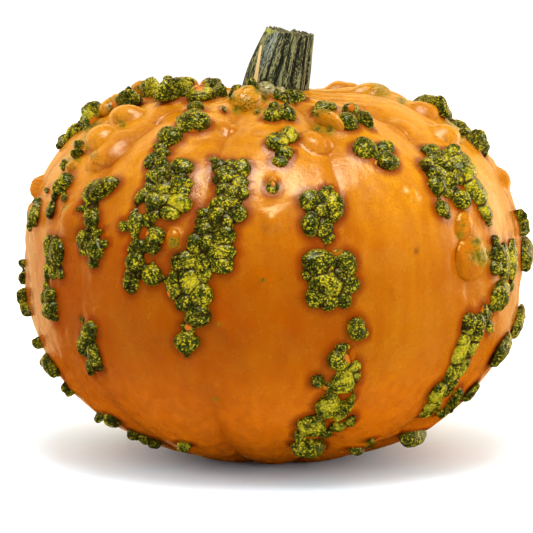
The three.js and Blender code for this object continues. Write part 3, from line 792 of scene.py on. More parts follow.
@dataclass(frozen=True)
class WartLayout:
    """Where the warts and bulges are, on the front and, by rule, on the sides and back.

    A Range holds the limits of a draw. Starts, ends, tops, margins, rises, gaps between runs and
    wanders are in degrees, half widths in millimetres, and the others are shares of a wart's size.
    """

    maker: LobeMaker
    wart_roundness: float = 0.9
    wart_swelling: float = 1.03
    wart_margin: float = 0.2
    start: float = 112.0
    end: float = 248.0
    seed: int = 2917
    strings: int = 7
    string_wander: Range = (-3, 3)
    string_tops: Range = (30, 52)
    string_ends: Range = (-50, -32)
    run_lengths: Range = (2, 5.99)
    run_gaps: Range = (10, 20)
    run_taper: float = 0.35
    half_widths: Range = (6.2, 9.5)
    tall_shares: Range = (0.75, 1.15)
    lobe_steps: Range = (0.78, 0.92)
    lobe_wander: Range = (-1.6, 1.6)
    twin_chance: float = 0.3
    twin_size: float = 0.75
    twin_gaps: Range = (0.6, 0.75)
    twin_wander: Range = (-1.5, 1.5)
    companion_seed: int = 11
    most_companions: int = 3
    companion_sizes: Range = (0.38, 0.62)
    companion_gaps: Range = (0.75, 1.15)
    companion_shapes: Range = (0.8, 1.25)
    degrees_per_mm: float = 57.3 / 125
    bulge_seed: int = 12
    bulge_count: int = 18
    bulge_margin: float = 8.0
    bulge_roundness: float = 0.4
    bulge_rises: Range = (-35, 55)
    bulge_widths: Range = (6, 12)
    bulge_shapes: Range = (0.8, 1.6)

    def front(self) -> Lobes:
        """The front's warts.

        Returns:
            A lobe for each row of FRONT_WARTS and STEM_WARTS, swollen a little.
        """
        rows = np.array([(*row, 0)[:5] for rows in FRONT_WARTS.values() for row in rows], float)
        rows[:, 2:4] = rows[:, 2:4] * self.wart_swelling + self.wart_margin
        stem = self.maker.at_stem(np.array(STEM_WARTS, float))
        return Lobes.joined(self.maker.from_front(rows, self.wart_roundness), stem)

    def knobs(self) -> Lobes:
        """Skin-coloured knobs of the front.

        Returns:
            A lobe for each row of FRONT_KNOBS and STEM_KNOBS.
        """
        table = np.array(FRONT_KNOBS, float)
        stem = self.maker.at_stem(np.array(STEM_KNOBS, float))
        return Lobes.joined(self.maker.from_front(table[:, :5], table[:, 5]), stem)

    def bulges(self) -> Lobes:
        """Soft bulges of the front, and of the hidden side by rule.

        Returns:
            A lobe for each row of FRONT_BULGES, and bulge_count more at random.
        """
        table = np.array(FRONT_BULGES, float)
        front = self.maker.from_front(table[:, :5], table[:, 5])
        draws = np.random.default_rng(self.bulge_seed)
        count = self.bulge_count
        turn = draws.uniform(self.start - self.bulge_margin, self.end + self.bulge_margin, count)
        rise = draws.uniform(*self.bulge_rises, count)
        wide = draws.uniform(*self.bulge_widths, count)
        rows = np.stack([turn, rise, wide, wide * draws.uniform(*self.bulge_shapes, count)], -1)
        return Lobes.joined(front, self.maker.on_skin(rows, self.bulge_roundness))

    def hidden_rows(self) -> np.ndarray:
        """Strings of warts down the sides and back: runs of lobes with gaps, some with a twin beside them.

        Returns:
            Turn and rise in degrees, half width and half height of each lobe.
        """
        draw = seeded_draw(self.seed)
        rows: list[Row] = []
        for string in range(self.strings):
            even = self.start + (self.end - self.start) * string / (self.strings - 1)
            turn = even + draw(*self.string_wander)
            rise = draw(*self.string_tops)
            lowest = draw(*self.string_ends)
            while rise > lowest:
                count = int(draw(*self.run_lengths))
                for place in range(count):
                    swell = math.sin(math.pi * (place + 0.5) / count)
                    fullness = 1 - self.run_taper + self.run_taper * swell
                    wide = fullness * draw(*self.half_widths)
                    tall = wide * draw(*self.tall_shares)
                    rows.append((turn, rise, wide, tall))
                    if draw(0, 1) < self.twin_chance:
                        side = -1 if draw(0, 1) < 0.5 else 1
                        twin_turn = turn + side * wide * draw(*self.twin_gaps)
                        twin_rise = rise + draw(*self.twin_wander)
                        rows.append((twin_turn, twin_rise, wide * self.twin_size, tall * self.twin_size))
                    rise -= tall * draw(*self.lobe_steps)
                    turn += draw(*self.lobe_wander)
                rise -= draw(*self.run_gaps)
        return np.array(rows)

    def companions(self, rows: np.ndarray) -> np.ndarray:
        """Smaller lobes at the rims of the hidden side's warts, a random few round each.

        Args:
            rows: the warts, as hidden_rows gives them.

        Returns:
            The smaller lobes, in the same form.
        """
        draws = np.random.default_rng(self.companion_seed)
        some = draws.integers(1, self.most_companions + 1, len(rows))
        parent = np.repeat(np.arange(len(rows)), some)
        count = len(parent)
        size = rows[parent, 2] * draws.uniform(*self.companion_sizes, count)
        angle = draws.uniform(0, 2 * np.pi, count)
        away = rows[parent, 2] * draws.uniform(*self.companion_gaps, count)
        degrees = self.degrees_per_mm
        turn = rows[parent, 0] + away * np.cos(angle) * degrees / np.cos(np.radians(rows[parent, 1]))
        rise = rows[parent, 1] + away * np.sin(angle) * degrees
        return np.stack([turn, rise, size, size * draws.uniform(*self.companion_shapes, count)], -1)

    def hidden(self) -> Lobes:
        """The warts of the sides and back.

        Returns:
            The lobes of the strings and their companions.
        """
        rows = self.hidden_rows()
        rows = np.concatenate([rows, self.companions(rows)])
        return self.maker.on_skin(rows, self.wart_roundness)


# ---------------------------------------------------------------- finishes


@dataclass
class Shading:
    """A material being built, with short ways to add its nodes."""

    name: str
    material: bpy.types.Material = field(init=False)

    def __post_init__(self) -> None:
        """Makes an empty node tree."""
        self.material = bpy.data.materials.new(self.name)
        self.material.use_nodes = True
        self.material.node_tree.nodes.clear()

    def node(self, kind: str, inputs: dict[str | int, object] | None = None,
             **settings: object) -> bpy.types.Node:
        """Adds a node.

        Args:
            kind: type of the node.
            inputs: values or links for its inputs.
            settings: values for its properties.

        Returns:
            The node.
        """
        made = self.material.node_tree.nodes.new(kind)
        for key, value in settings.items():
            setattr(made, key, value)
        for key, value in (inputs or {}).items():
            if isinstance(value, Socket):
                self.material.node_tree.links.new(value, made.inputs[key])
            else:
                made.inputs[key].default_value = value
        return made

    def place(self) -> Socket:
        """Object coordinates, in metres."""
        return self.node("ShaderNodeTexCoord").outputs["Object"]

    def stored(self, name: str) -> Socket:
        """A number kept on the vertices."""
        return self.node("ShaderNodeAttribute", attribute_name=name).outputs["Fac"]

    def noise(self, size: float, detail: float = 2.0, stretch: Triple = (1, 1, 1), rough: float = 0.5,
              place: Socket | None = None) -> Socket:
        """Adds noise.

        Args:
            size: size of its lumps, in millimetres.
            detail: how many finer layers it has.
            stretch: how far it is drawn out along each axis.
            rough: strength of each finer layer over the one before.
            place: coordinates that it reads, if not those of the object.

        Returns:
            The noise, from 0 to 1.
        """
        scale = tuple(1 / s for s in stretch)
        placed = self.node("ShaderNodeMapping", {"Vector": place or self.place(), "Scale": scale})
        inputs = {"Vector": placed.outputs[0], "Scale": 1 / (size * METRES)}
        inputs.update({"Detail": detail, "Roughness": rough})
        return self.node("ShaderNodeTexNoise", inputs).outputs["Fac"]

    def step(self, value: Socket, low: float, high: float, to_low: float = 0.0,
             to_high: float = 1.0) -> Socket:
        """A smooth step of the value, from to_low at the low limit to to_high at the high one."""
        inputs = {"Value": value, "From Min": low, "From Max": high, "To Min": to_low, "To Max": to_high}
        return self.node("ShaderNodeMapRange", inputs, interpolation_type="SMOOTHSTEP").outputs[0]

    def sum(self, operation: str, first: Socket | float, second: Socket | float) -> Socket:
        """Arithmetic on two numbers or links."""
        return self.node("ShaderNodeMath", {0: first, 1: second}, operation=operation).outputs[0]

    def plus(self, first: Socket | float, second: Socket | float) -> Socket:
        """One number or link plus another."""
        return self.sum("ADD", first, second)

    def times(self, first: Socket | float, second: Socket | float) -> Socket:
        """One number or link times another."""
        return self.sum("MULTIPLY", first, second)

    def around(self, value: Socket, strength: float) -> Socket:
        """How far a noise is above its middle of one half, times a strength."""
        return self.times(self.sum("SUBTRACT", value, 0.5), strength)

    def mix(self, share: Socket | float, first: Socket | Colour, second: Socket | Colour) -> Socket:
        """A blend of two colours.

        Args:
            share: how much of the second there is, from 0 to 1.
            first: the colour at 0.
            second: the colour at 1.

        Returns:
            The blended colour.
        """
        made = self.node("ShaderNodeMix", {0: share, 6: first, 7: second}, data_type="RGBA")
        return made.outputs[2]

    def finish(self, base: Socket, bump: Socket, roughness: Socket | float, strength: float,
               distance: float, **others: object) -> bpy.types.Material:
        """Ends the tree in a Principled shader.

        Args:
            base: link of the base colour.
            bump: link of the height that the bump reads.
            roughness: link or value of the roughness.
            strength: strength of the bump.
            distance: depth of the bump, in millimetres.
            others: values or links of other sockets, with underscores for blanks.

        Returns:
            The material.
        """
        raised = {"Height": bump, "Strength": strength, "Distance": distance * METRES}
        normal = self.node("ShaderNodeBump", raised).outputs[0]
        inputs = {"Base Color": base, "Roughness": roughness, "Normal": normal}
        inputs.update({key.replace("_", " "): value for key, value in others.items()})
        shader = self.node("ShaderNodeBsdfPrincipled", inputs)
        self.node("ShaderNodeOutputMaterial", {"Surface": shader.outputs[0]})
        return self.material


def tone(red: int, green: int, blue: int) -> Colour:
    """A display colour from 0 to 255 as linear light, by the sRGB curve."""
    shares = (red / 255, green / 255, blue / 255)
    return (*(c / 12.92 if c < 0.04 else ((c + 0.055) / 1.055) ** 2.4 for c in shares), 1.0)


@dataclass(frozen=True)
class RindFinish:
    """Waxy orange rind, olive where green has stayed in the skin, with painted shade and light.

    Painted shade makes it redder and darker in the furrows, beside warts and knobs and round bulges.
    Painted light makes the upper skin lighter and golden and the bottom lighter. It is paler and more
    golden towards the right. Sizes and the bump's depth are in millimetres. The upper and lower skin
    each fade in over a range of heights, in metres.
    """

    orange: Colour = tone(142, 60, 0)
    # deep: random streaks and grain, and painted shade in the furrows
    deep: Colour = tone(136, 52, 0)
    paler: Colour = tone(150, 75, 0)
    # golden: painted light on the upper skin; it also colours the paler right
    golden: Colour = tone(208, 142, 3)
    # lower: lighter skin at the bottom, painted light
    lower: Colour = tone(206, 104, 0)
    # Painted contact shade, redder and darker, beside warts and knobs and round bulges
    contact_shade: Colour = tone(122, 42, 0)
    # crease: dark painted shade at the feet of the warts and knobs
    crease: Colour = tone(84, 22, 0)
    olive: Colour = tone(116, 100, 8)
    green: Colour = tone(40, 46, 10)
    cork: Colour = tone(172, 158, 106)
    dry: Colour = tone(92, 84, 44)
    pit: Colour = tone(64, 30, 10)
    shine: Colour = (1.0, 0.85, 0.1, 1.0)
    bloom: Colour = (1.0, 0.95, 0.75, 1.0)
    gloss: float = 0.8
    smoothest: float = 0.21
    dullest: float = 0.31
    cloud_size: float = 34.0
    streak_size: float = 5.0
    streak_stretch: Triple = (1, 1, 12)
    grain_size: float = 1.2
    fleck_size: float = 1.6
    speckle_size: float = 0.8
    cork_size: float = 1.1
    cork_stretch: Triple = (2.5, 1, 1)
    wrinkle_size: float = 1.8
    wrinkle_stretch: Triple = (1, 1, 2.5)
    pore_size: float = 2.2
    wave_size: float = 8.0
    gloss_size: float = 12.0
    bump: float = 0.4
    bump_depth: float = 0.4
    upper_skin: Range = (0.11, 0.185)
    bottom_light_heights: Range = (0.085, 0.015)

    def skin(self, s: Shading, upper: Socket, height: Socket) -> Socket:
        """Colour of the skin where nothing marks it, with painted light on the upper skin and the bottom and
        painted shade in the furrows.

        Args:
            s: the material being built.
            upper: how far up the shoulders a point is, from 0 to 1.
            height: its height, in metres.

        Returns:
            The colour.
        """
        # The clouds lean to the paler orange towards the right.
        clouds = s.plus(s.noise(self.cloud_size, 3), s.times(s.stored("paler"), 0.22))
        streaks = s.step(s.noise(self.streak_size, 3, self.streak_stretch), 0.3, 0.7)
        grain = s.noise(self.grain_size, 3, rough=0.7)
        base = s.mix(s.step(clouds, 0.42, 0.74), self.orange, self.paler)
        # Painted light: the upper skin lighter and more golden, for the light from above.
        base = s.mix(s.times(upper, 0.75), base, self.golden)
        # Paler and more golden towards the right.
        base = s.mix(s.step(s.stored("paler"), 0.75, 1, 0, 0.18), base, self.golden)
        # Painted light: the bottom lighter, for light from below.
        base = s.mix(s.step(height, *self.bottom_light_heights), base, self.lower)
        base = s.mix(s.times(streaks, 0.3), base, self.deep)
        base = s.mix(s.step(grain, 0.42, 0.62, 0, 0.28), base, self.deep)
        # Painted shade: the furrows darker and redder.
        return s.mix(s.times(s.stored("furrow"), 0.5), base, self.deep)

    def marked(self, s: Shading, base: Socket) -> Socket:
        """Colour with the marks on it: painted contact shade, green stain, specks, painted shade in creases,
        pits and cork.

        Args:
            s: the material being built.
            base: colour of the skin.

        Returns:
            The colour.
        """
        fleck = s.noise(self.fleck_size, 4, rough=0.7)
        greening = s.plus(s.stored("green"), s.around(fleck, 1.6))
        specked = s.plus(s.noise(self.speckle_size, 3, rough=0.65), s.times(s.stored("speckle"), 0.28))
        corky = s.plus(s.stored("cork"), s.around(fleck, 0.9))
        dryness = s.step(s.noise(self.cork_size, 3, self.cork_stretch, 0.7), 0.4, 0.62)
        for share, colour in (
            # Painted contact shade beside warts and knobs and round bulges.
            (s.step(s.stored("contact_shade"), 0.15, 1.0, 0, 0.85), self.contact_shade),
            (s.step(greening, 0.35, 0.75, 0, 0.75), self.olive),
            (s.step(greening, 0.75, 1.05, 0, 0.85), self.green),
            (s.step(specked, 0.74, 0.8, 0, 0.9), self.olive),
            (s.step(specked, 0.79, 0.85, 0, 0.9), self.green),
            # Painted shade in the creases at the feet of warts and knobs.
            (s.step(s.stored("crease"), 0.1, 1.0, 0, 0.8), self.crease),
            (s.stored("pit"), self.pit),
            (s.step(corky, 0.45, 0.7), s.mix(dryness, self.dry, self.cork)),
        ):
            base = s.mix(share, base, colour)
        return base

    def material(self) -> bpy.types.Material:
        """Builds the material.

        Returns:
            The material of the rind and the knobs.
        """
        s = Shading("rind")
        height = s.node("ShaderNodeSeparateXYZ", {0: s.place()}).outputs["Z"]
        upper = s.step(height, *self.upper_skin)
        base = self.marked(s, self.skin(s, upper, height))
        pores = s.plus(s.noise(self.pore_size, 4, rough=0.6), s.times(s.noise(self.wave_size, 2), 1.8))
        wrinkles = s.times(s.noise(self.wrinkle_size, 4, self.wrinkle_stretch, 0.65), s.times(upper, 1.6))
        rough = s.step(s.noise(self.gloss_size, 4), 0.3, 0.7, self.smoothest, self.dullest)
        shine = s.mix(upper, self.shine, self.bloom)
        return s.finish(base, s.plus(pores, wrinkles), rough, self.bump, self.bump_depth,
                        Specular_IOR_Level=self.gloss, Specular_Tint=shine)


@dataclass(frozen=True)
class WartFinish:
    """Warts: dark green flecked with yellow, lime or orange in places, with dark painted shade in the
    creases and along the skin.
    """

    dark: Colour = tone(20, 25, 3)
    green: Colour = tone(52, 60, 6)
    yellow: Colour = tone(176, 156, 2)
    lime: Colour = tone(124, 122, 14)
    orange: Colour = tone(176, 92, 4)
    # brown: painted shade in the creases and along the skin
    brown: Colour = tone(34, 14, 3)
    shine: Colour = (1.0, 1.0, 0.5, 1.0)
    gloss: float = 0.55
    smoothest: float = 0.25
    dullest: float = 0.38
    worm_size: float = 0.95
    worm_stretch: Triple = (1.2, 1.2, 1)
    fine_size: float = 0.7
    patch_size: float = 5.5
    speck_size: float = 0.9
    wave_size: float = 3.2
    bump: float = 0.5
    bump_depth: float = 0.3

    def material(self) -> bpy.types.Material:
        """Builds the material.

        Returns:
            The material of all the warts.
        """
        s = Shading("wart")
        shade = s.stored("shade")
        worm = s.noise(self.worm_size, 3, self.worm_stretch, 0.65)
        patch = s.noise(self.patch_size, 3, rough=0.6)
        fine = s.plus(s.times(worm, 0.75), s.times(s.noise(self.fine_size, 2), 0.25))
        spread = s.plus(s.plus(fine, s.around(patch, 0.35)), s.times(shade, 0.05))
        limed = s.step(s.plus(patch, s.times(shade, 0.35)), 0.6, 0.95, 0, 0.9)
        speck = s.step(s.noise(self.speck_size, 2, rough=0.6), 0.36, 0.46, 0.9, 0)
        clear = s.sum("SUBTRACT", 1, s.times(limed, 0.6))
        orange = s.plus(s.stored("orange"), s.around(worm, 0.8))
        base = s.mix(s.step(spread, 0.41, 0.5), self.dark, self.green)
        for share, colour in (
            (limed, self.lime),
            (s.step(spread, 0.54, 0.585, 0, 0.95), self.yellow),
            (s.times(speck, clear), self.dark),
            (s.step(orange, 0.5, 0.75), self.orange),
            # Painted shade in the creases and along the skin.
            (s.step(s.stored("crease"), 0.15, 0.85, 0, 0.92), self.brown),
        ):
            base = s.mix(share, base, colour)
        height = s.plus(worm, s.times(s.noise(self.wave_size, 2), 1.2))
        rough = s.step(patch, 0.3, 0.7, self.smoothest, self.dullest)
        return s.finish(base, height, rough, self.bump, self.bump_depth,
                        Specular_IOR_Level=self.gloss, Specular_Tint=self.shine)


@dataclass(frozen=True)
class StemFinish:
    """Dry stalk: mottled dark fibres, darker seams, one torn tan edge, a frosted facet and a pale corner."""

    dark: Colour = tone(18, 17, 9)
    green: Colour = tone(54, 56, 28)
    pale: Colour = tone(124, 122, 78)
    tan: Colour = tone(210, 178, 122)
    frost: Colour = tone(138, 146, 136)
    fresh: Colour = tone(156, 158, 58)
    brown: Colour = tone(52, 42, 26)
    gloss: float = 0.3
    roughness: float = 0.7
    fibre_size: float = 0.9
    fibre_stretch: Triple = (1, 1, 14)
    mottle_size: float = 0.7
    mottle_stretch: Triple = (1, 1, 2.2)
    broad_size: float = 3.5
    broad_stretch: Triple = (1, 1, 6)
    cut_size: float = 1.6
    bump: float = 0.8
    bump_depth: float = 0.6

    def material(self) -> bpy.types.Material:
        """Builds the material.

        Returns:
            The material of the stalk.
        """
        s = Shading("stalk")
        grain = s.node("ShaderNodeAttribute", attribute_name="grain").outputs["Vector"]
        fibre = s.noise(self.fibre_size, 2, self.fibre_stretch, 0.6, grain)
        mottle = s.noise(self.mottle_size, 2, self.mottle_stretch, 0.6, grain)
        broad = s.noise(self.broad_size, 2, self.broad_stretch, place=grain)
        # The ridges are painted lighter and the grooves darker, painted shade in the grooves.
        lit = s.plus(s.times(s.stored("ridge"), 0.13), s.times(fibre, 0.75))
        lit = s.plus(s.plus(lit, s.times(mottle, 0.7)), s.around(broad, 0.3))
        lit = s.sum("SUBTRACT", lit, s.times(s.stored("seam"), 0.2))
        cut = s.mix(s.step(s.noise(self.cut_size, 4), 0.4, 0.7), self.brown, self.pale)
        corner = s.plus(s.stored("corner"), s.around(mottle, 3))
        base = s.mix(s.step(lit, 0.69, 0.77), self.dark, self.green)
        for share, colour in (
            (s.step(lit, 0.8, 0.88), self.pale),
            (s.times(s.stored("frost"), s.step(mottle, 0.35, 0.6)), self.frost),
            (s.step(s.stored("torn"), 0.35, 0.6), self.tan),
            (s.stored("cut"), cut),
            (s.step(corner, 0.5, 0.8, 0, 0.9), self.fresh),
        ):
            base = s.mix(share, base, colour)
        height = s.plus(fibre, s.times(mottle, 0.6))
        return s.finish(base, height, self.roughness, self.bump, self.bump_depth,
                        Specular_IOR_Level=self.gloss)


# ---------------------------------------------------------------- sub-assemblies


def dress(thing: bpy.types.Object, material: bpy.types.Material, slot: str, *nodes: str) -> None:
    """Gives a piece its material and body, and hides the nodes that it stands for.

    Args:
        thing: the piece.
        material: its material.
        slot: not used.
        nodes: the solids that it replaces.
    """
    thing.data.materials.append(material)
    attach(thing, "root")
    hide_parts(*nodes)
    triangles = sum(len(p.vertices) - 2 for p in thing.data.polygons)
    log.info("%s: %d triangles", thing.name, triangles)


def spread_of(view: FrontElevation, points: np.ndarray, spots: list[Row]) -> np.ndarray:
    """The strongest of several bell-shaped spots at each point of the front.

    Args:
        view: the elevation in which the spots are laid out.
        points: the points to look up.
        spots: x, height and spread of each spot.

    Returns:
        One value from 0 to 1 for each point, and 0 well behind the skyline.
    """
    x, height = view.seen(points)
    strongest = np.zeros(len(points))
    for spot_x, spot_height, spread in spots:
        away = np.hypot(x - spot_x, height - spot_height) / spread
        strongest = np.maximum(strongest, np.exp(-away ** 2))
    return strongest * (points[:, 1] < MARKS_END)


def store_marks(mesh: bpy.types.Mesh, view: FrontElevation, skin: np.ndarray) -> None:
    """Keeps how far the skin turns paler towards the right, and where it is green, specked, corky or pitted.

    Args:
        mesh: the mesh that keeps the marks.
        view: the elevation in which they are laid out.
        skin: the mesh's vertices on the plain skin. The paler share is a smooth step of their x.
    """
    across = np.clip(skin[:, 0] / PALER_RIGHT_WIDTH + 0.5, 0, 1)
    store(mesh, "paler", across * across * (3 - 2 * across))
    for name, spots in (("green", FRONT_GREENS), ("speckle", FRONT_SPECKLES), ("cork", FRONT_CORK)):
        store(mesh, name, spread_of(view, skin, spots))
    store(mesh, "pit", PIT_SHADE * spread_of(view, skin, FRONT_PITS))


@dataclass
class SkinRelief:
    """How far the skin stands out from its plain form: bulges, pimples, pits, folds and long waves."""

    view: FrontElevation
    bulges: Lobes
    bulge_spread: float = 1.2
    bulge_power: float = 1.2
    # From ring_at to faintest_ring: where the painted shade round a bulge's foot lies, darker below it.
    ring_at: float = 0.95
    ring_width: float = 0.09
    ring_fade: float = 10.0
    faintest_ring: float = 0.25
    pimple_seed: int = 5
    pimple_count: int = 90
    pimple_turns: Range = (80, 280)
    pimple_rises: Range = (-45, 55)
    pimple_widths: Range = (1.8, 5)
    pimple_heights: Range = (-0.4, 1.3)
    fold_height: float = 0.4
    fold_radius: float = 40.0
    fold_width: float = 26.0
    fold_counts: tuple[int, int] = (23, 37)
    fold_bend: float = 0.25
    bend_size: float = 30.0
    wave_height: float = 0.8
    wave_size: float = 26.0
    ripple_share: float = 0.35
    ripple_size: float = 11.0
    wrinkle_height: float = 0.22
    wrinkle_size: float = 5.0
    foot_top: float = 1.5
    foot_fade: float = 12.0
    stem_radius: float = 16.0
    stem_fade: float = 8.0

    def bulge(self, skin: np.ndarray) -> np.ndarray:
        """Height of the bulges: each is its own height times (1 - (q/spread)^3)^power.

        Args:
            skin: points of the plain skin.

        Returns:
            The height of the highest bulge at each point.
        """
        relief = np.zeros(len(skin))
        inverse = np.linalg.inv(self.bulges.axes)
        for centre, back, height in zip(self.bulges.centres, inverse, self.bulges.heights):
            q = np.linalg.norm((skin - centre) @ back, axis=-1) / self.bulge_spread
            relief = np.maximum(relief, height * np.maximum(1 - q ** 3, 0) ** self.bulge_power)
        return relief

    def ring(self, skin: np.ndarray) -> np.ndarray:
        """Share of the painted shade round a bulge's foot: fainter above the bulge than below it.

        Args:
            skin: points of the plain skin.

        Returns:
            The share at each point, from 0 to 1.
        """
        line = np.zeros(len(skin))
        inverse = np.linalg.inv(self.bulges.axes)
        for centre, back in zip(self.bulges.centres, inverse):
            q = np.linalg.norm((skin - centre) @ back, axis=-1) / self.bulge_spread
            below = np.clip(0.5 + (centre[2] - skin[:, 2]) / self.ring_fade, self.faintest_ring, 1)
            line = np.maximum(line, below * np.exp(-((q - self.ring_at) / self.ring_width) ** 2))
        return line

    def pimple(self, skin: np.ndarray) -> np.ndarray:
        """Height of pimples and pits: bells over places laid out in the front and random elsewhere.

        Args:
            skin: points of the plain skin.

        Returns:
            The height at each point.
        """
        table = np.array(FRONT_PIMPLES, float)
        middles = self.view.sight_points(table[:, 0], table[:, 1])
        draws = np.random.default_rng(self.pimple_seed)
        count = self.pimple_count
        turn = np.radians(draws.uniform(*self.pimple_turns, count))
        rise = np.radians(draws.uniform(*self.pimple_rises, count))
        middles = np.concatenate([middles, self.view.form.place(turn, rise)])
        widths = np.concatenate([table[:, 2], draws.uniform(*self.pimple_widths, count)])
        heights = np.concatenate([table[:, 3], draws.uniform(*self.pimple_heights, count)])
        relief = np.zeros(len(skin))
        for middle, width, height in zip(middles, widths, heights):
            relief += height * np.exp(-(np.linalg.norm(skin - middle, axis=-1) / width) ** 2)
        return relief

    def fold(self, turn: np.ndarray, skin: np.ndarray) -> np.ndarray:
        """Folds that run out from the stem: two waves round it that fade with the distance from it.

        Args:
            turn: angle round the stem of each point.
            skin: points of the plain skin.

        Returns:
            The height at each point.
        """
        away = np.hypot(skin[:, 0], skin[:, 1])
        fade = np.exp(-((away - self.fold_radius) / self.fold_width) ** 2)
        fade = fade * (skin[:, 2] > self.view.form.waist)
        bent = turn + self.fold_bend * even_noise(skin, self.bend_size, 7)
        broad, fine = self.fold_counts
        waves = np.sin(broad * bent) + 0.7 * np.sin(fine * bent + 1)
        return self.fold_height * fade * waves

    def height(self, turn: np.ndarray, rise: np.ndarray) -> np.ndarray:
        """All of the relief at places on the fruit, faded out at the foot and under the stem.

        Args:
            turn: angles round the stem.
            rise: angles above level.

        Returns:
            The heights, in millimetres along the lines from the centre.
        """
        form = self.view.form
        skin = form.place(turn, rise)
        relief = self.bulge(skin) + self.pimple(skin) + self.fold(turn, skin)
        ripple = self.ripple_share * even_noise(skin, self.ripple_size, 2)
        relief += self.wave_height * (even_noise(skin, self.wave_size, 1) + ripple)
        relief += self.wrinkle_height * even_noise(skin, self.wrinkle_size, 12)
        foot = np.clip((skin[:, 2] - self.foot_top) / self.foot_fade, 0, 1)
        away = np.hypot(skin[:, 0], skin[:, 1])
        stem = np.clip((away - self.stem_radius) / self.stem_fade, 0, 1)
        return relief * foot * np.where(skin[:, 2] > form.waist, stem, 1)


@dataclass
class Rind:
    """The orange skin with its ribs, bulges, pimples and folds."""

    relief: SkinRelief
    warts: Lobes
    finish: bpy.types.Material
    columns: int = 440
    rows: int = 220
    front_crowding: float = 0.3
    puff: float = 0.16
    puff_width: float = 4.5
    puff_from: float = 2.0
    # From level_furrow to ring_shade: painted shade in the furrows, at the warts' feet and round the bulges.
    level_furrow: float = 0.35
    crease_shade: float = 0.4
    crease_width: float = 1.2
    contact_shade_width: float = 4.0
    ring_shade: float = 0.75

    def grid(self) -> tuple[np.ndarray, np.ndarray]:
        """Turns and rises of the rings, with the columns closer together towards the front.

        The turn is u less a share of sin u, for u even round the circle.

        Returns:
            The turn and the rise of each vertex, with the two poles last.
        """
        u = 2 * np.pi * np.arange(self.columns) / self.columns
        turn = u - self.front_crowding * np.sin(u)
        rise = np.pi * (np.arange(1, self.rows) / self.rows - 0.5)
        turn, rise = np.broadcast_arrays(turn, rise[:, None])
        ends = np.array([-np.pi / 2, np.pi / 2])
        return np.concatenate([turn.ravel(), [0, 0]]), np.concatenate([rise.ravel(), ends])

    def build(self) -> None:
        """Makes the skin, raised along the lines from the centre, and keeps what its finish reads."""
        form = self.relief.view.form
        turn, rise = self.grid()
        skin = form.place(turn, rise)
        near, owner = self.warts.nearest(skin, 1)
        edge = np.maximum((near[:, 0] - 1) * self.warts.sizes[owner[:, 0]], 0)
        puffed = np.exp(-(edge / self.puff_width) ** 2) * (skin[:, 2] > self.puff_from)
        raised = self.relief.height(turn, rise)
        raised += self.puff * self.warts.heights[owner[:, 0]] * puffed
        points = form.place(turn, rise, raised)
        mesh = new_mesh("rind", points, *closed_grid(self.rows - 1, self.columns))
        # Painted shade in the furrows, fainter at the waist.
        steep = self.level_furrow + (1 - self.level_furrow) * np.abs(np.sin(2 * rise))
        store(mesh, "furrow", form.groove(turn) * steep)
        # Painted shade in the narrow crease at the warts' feet.
        store(mesh, "crease", self.crease_shade * np.exp(-(edge / self.crease_width) ** 2))
        # Painted contact shade beside the warts and round the bulges.
        ring = self.ring_shade * self.relief.ring(skin)
        store(mesh, "contact_shade", np.maximum(np.exp(-(edge / self.contact_shade_width) ** 2), ring))
        store_marks(mesh, self.relief.view, skin)
        dress(new_object("rind", mesh), self.finish, "rind", "fruit")


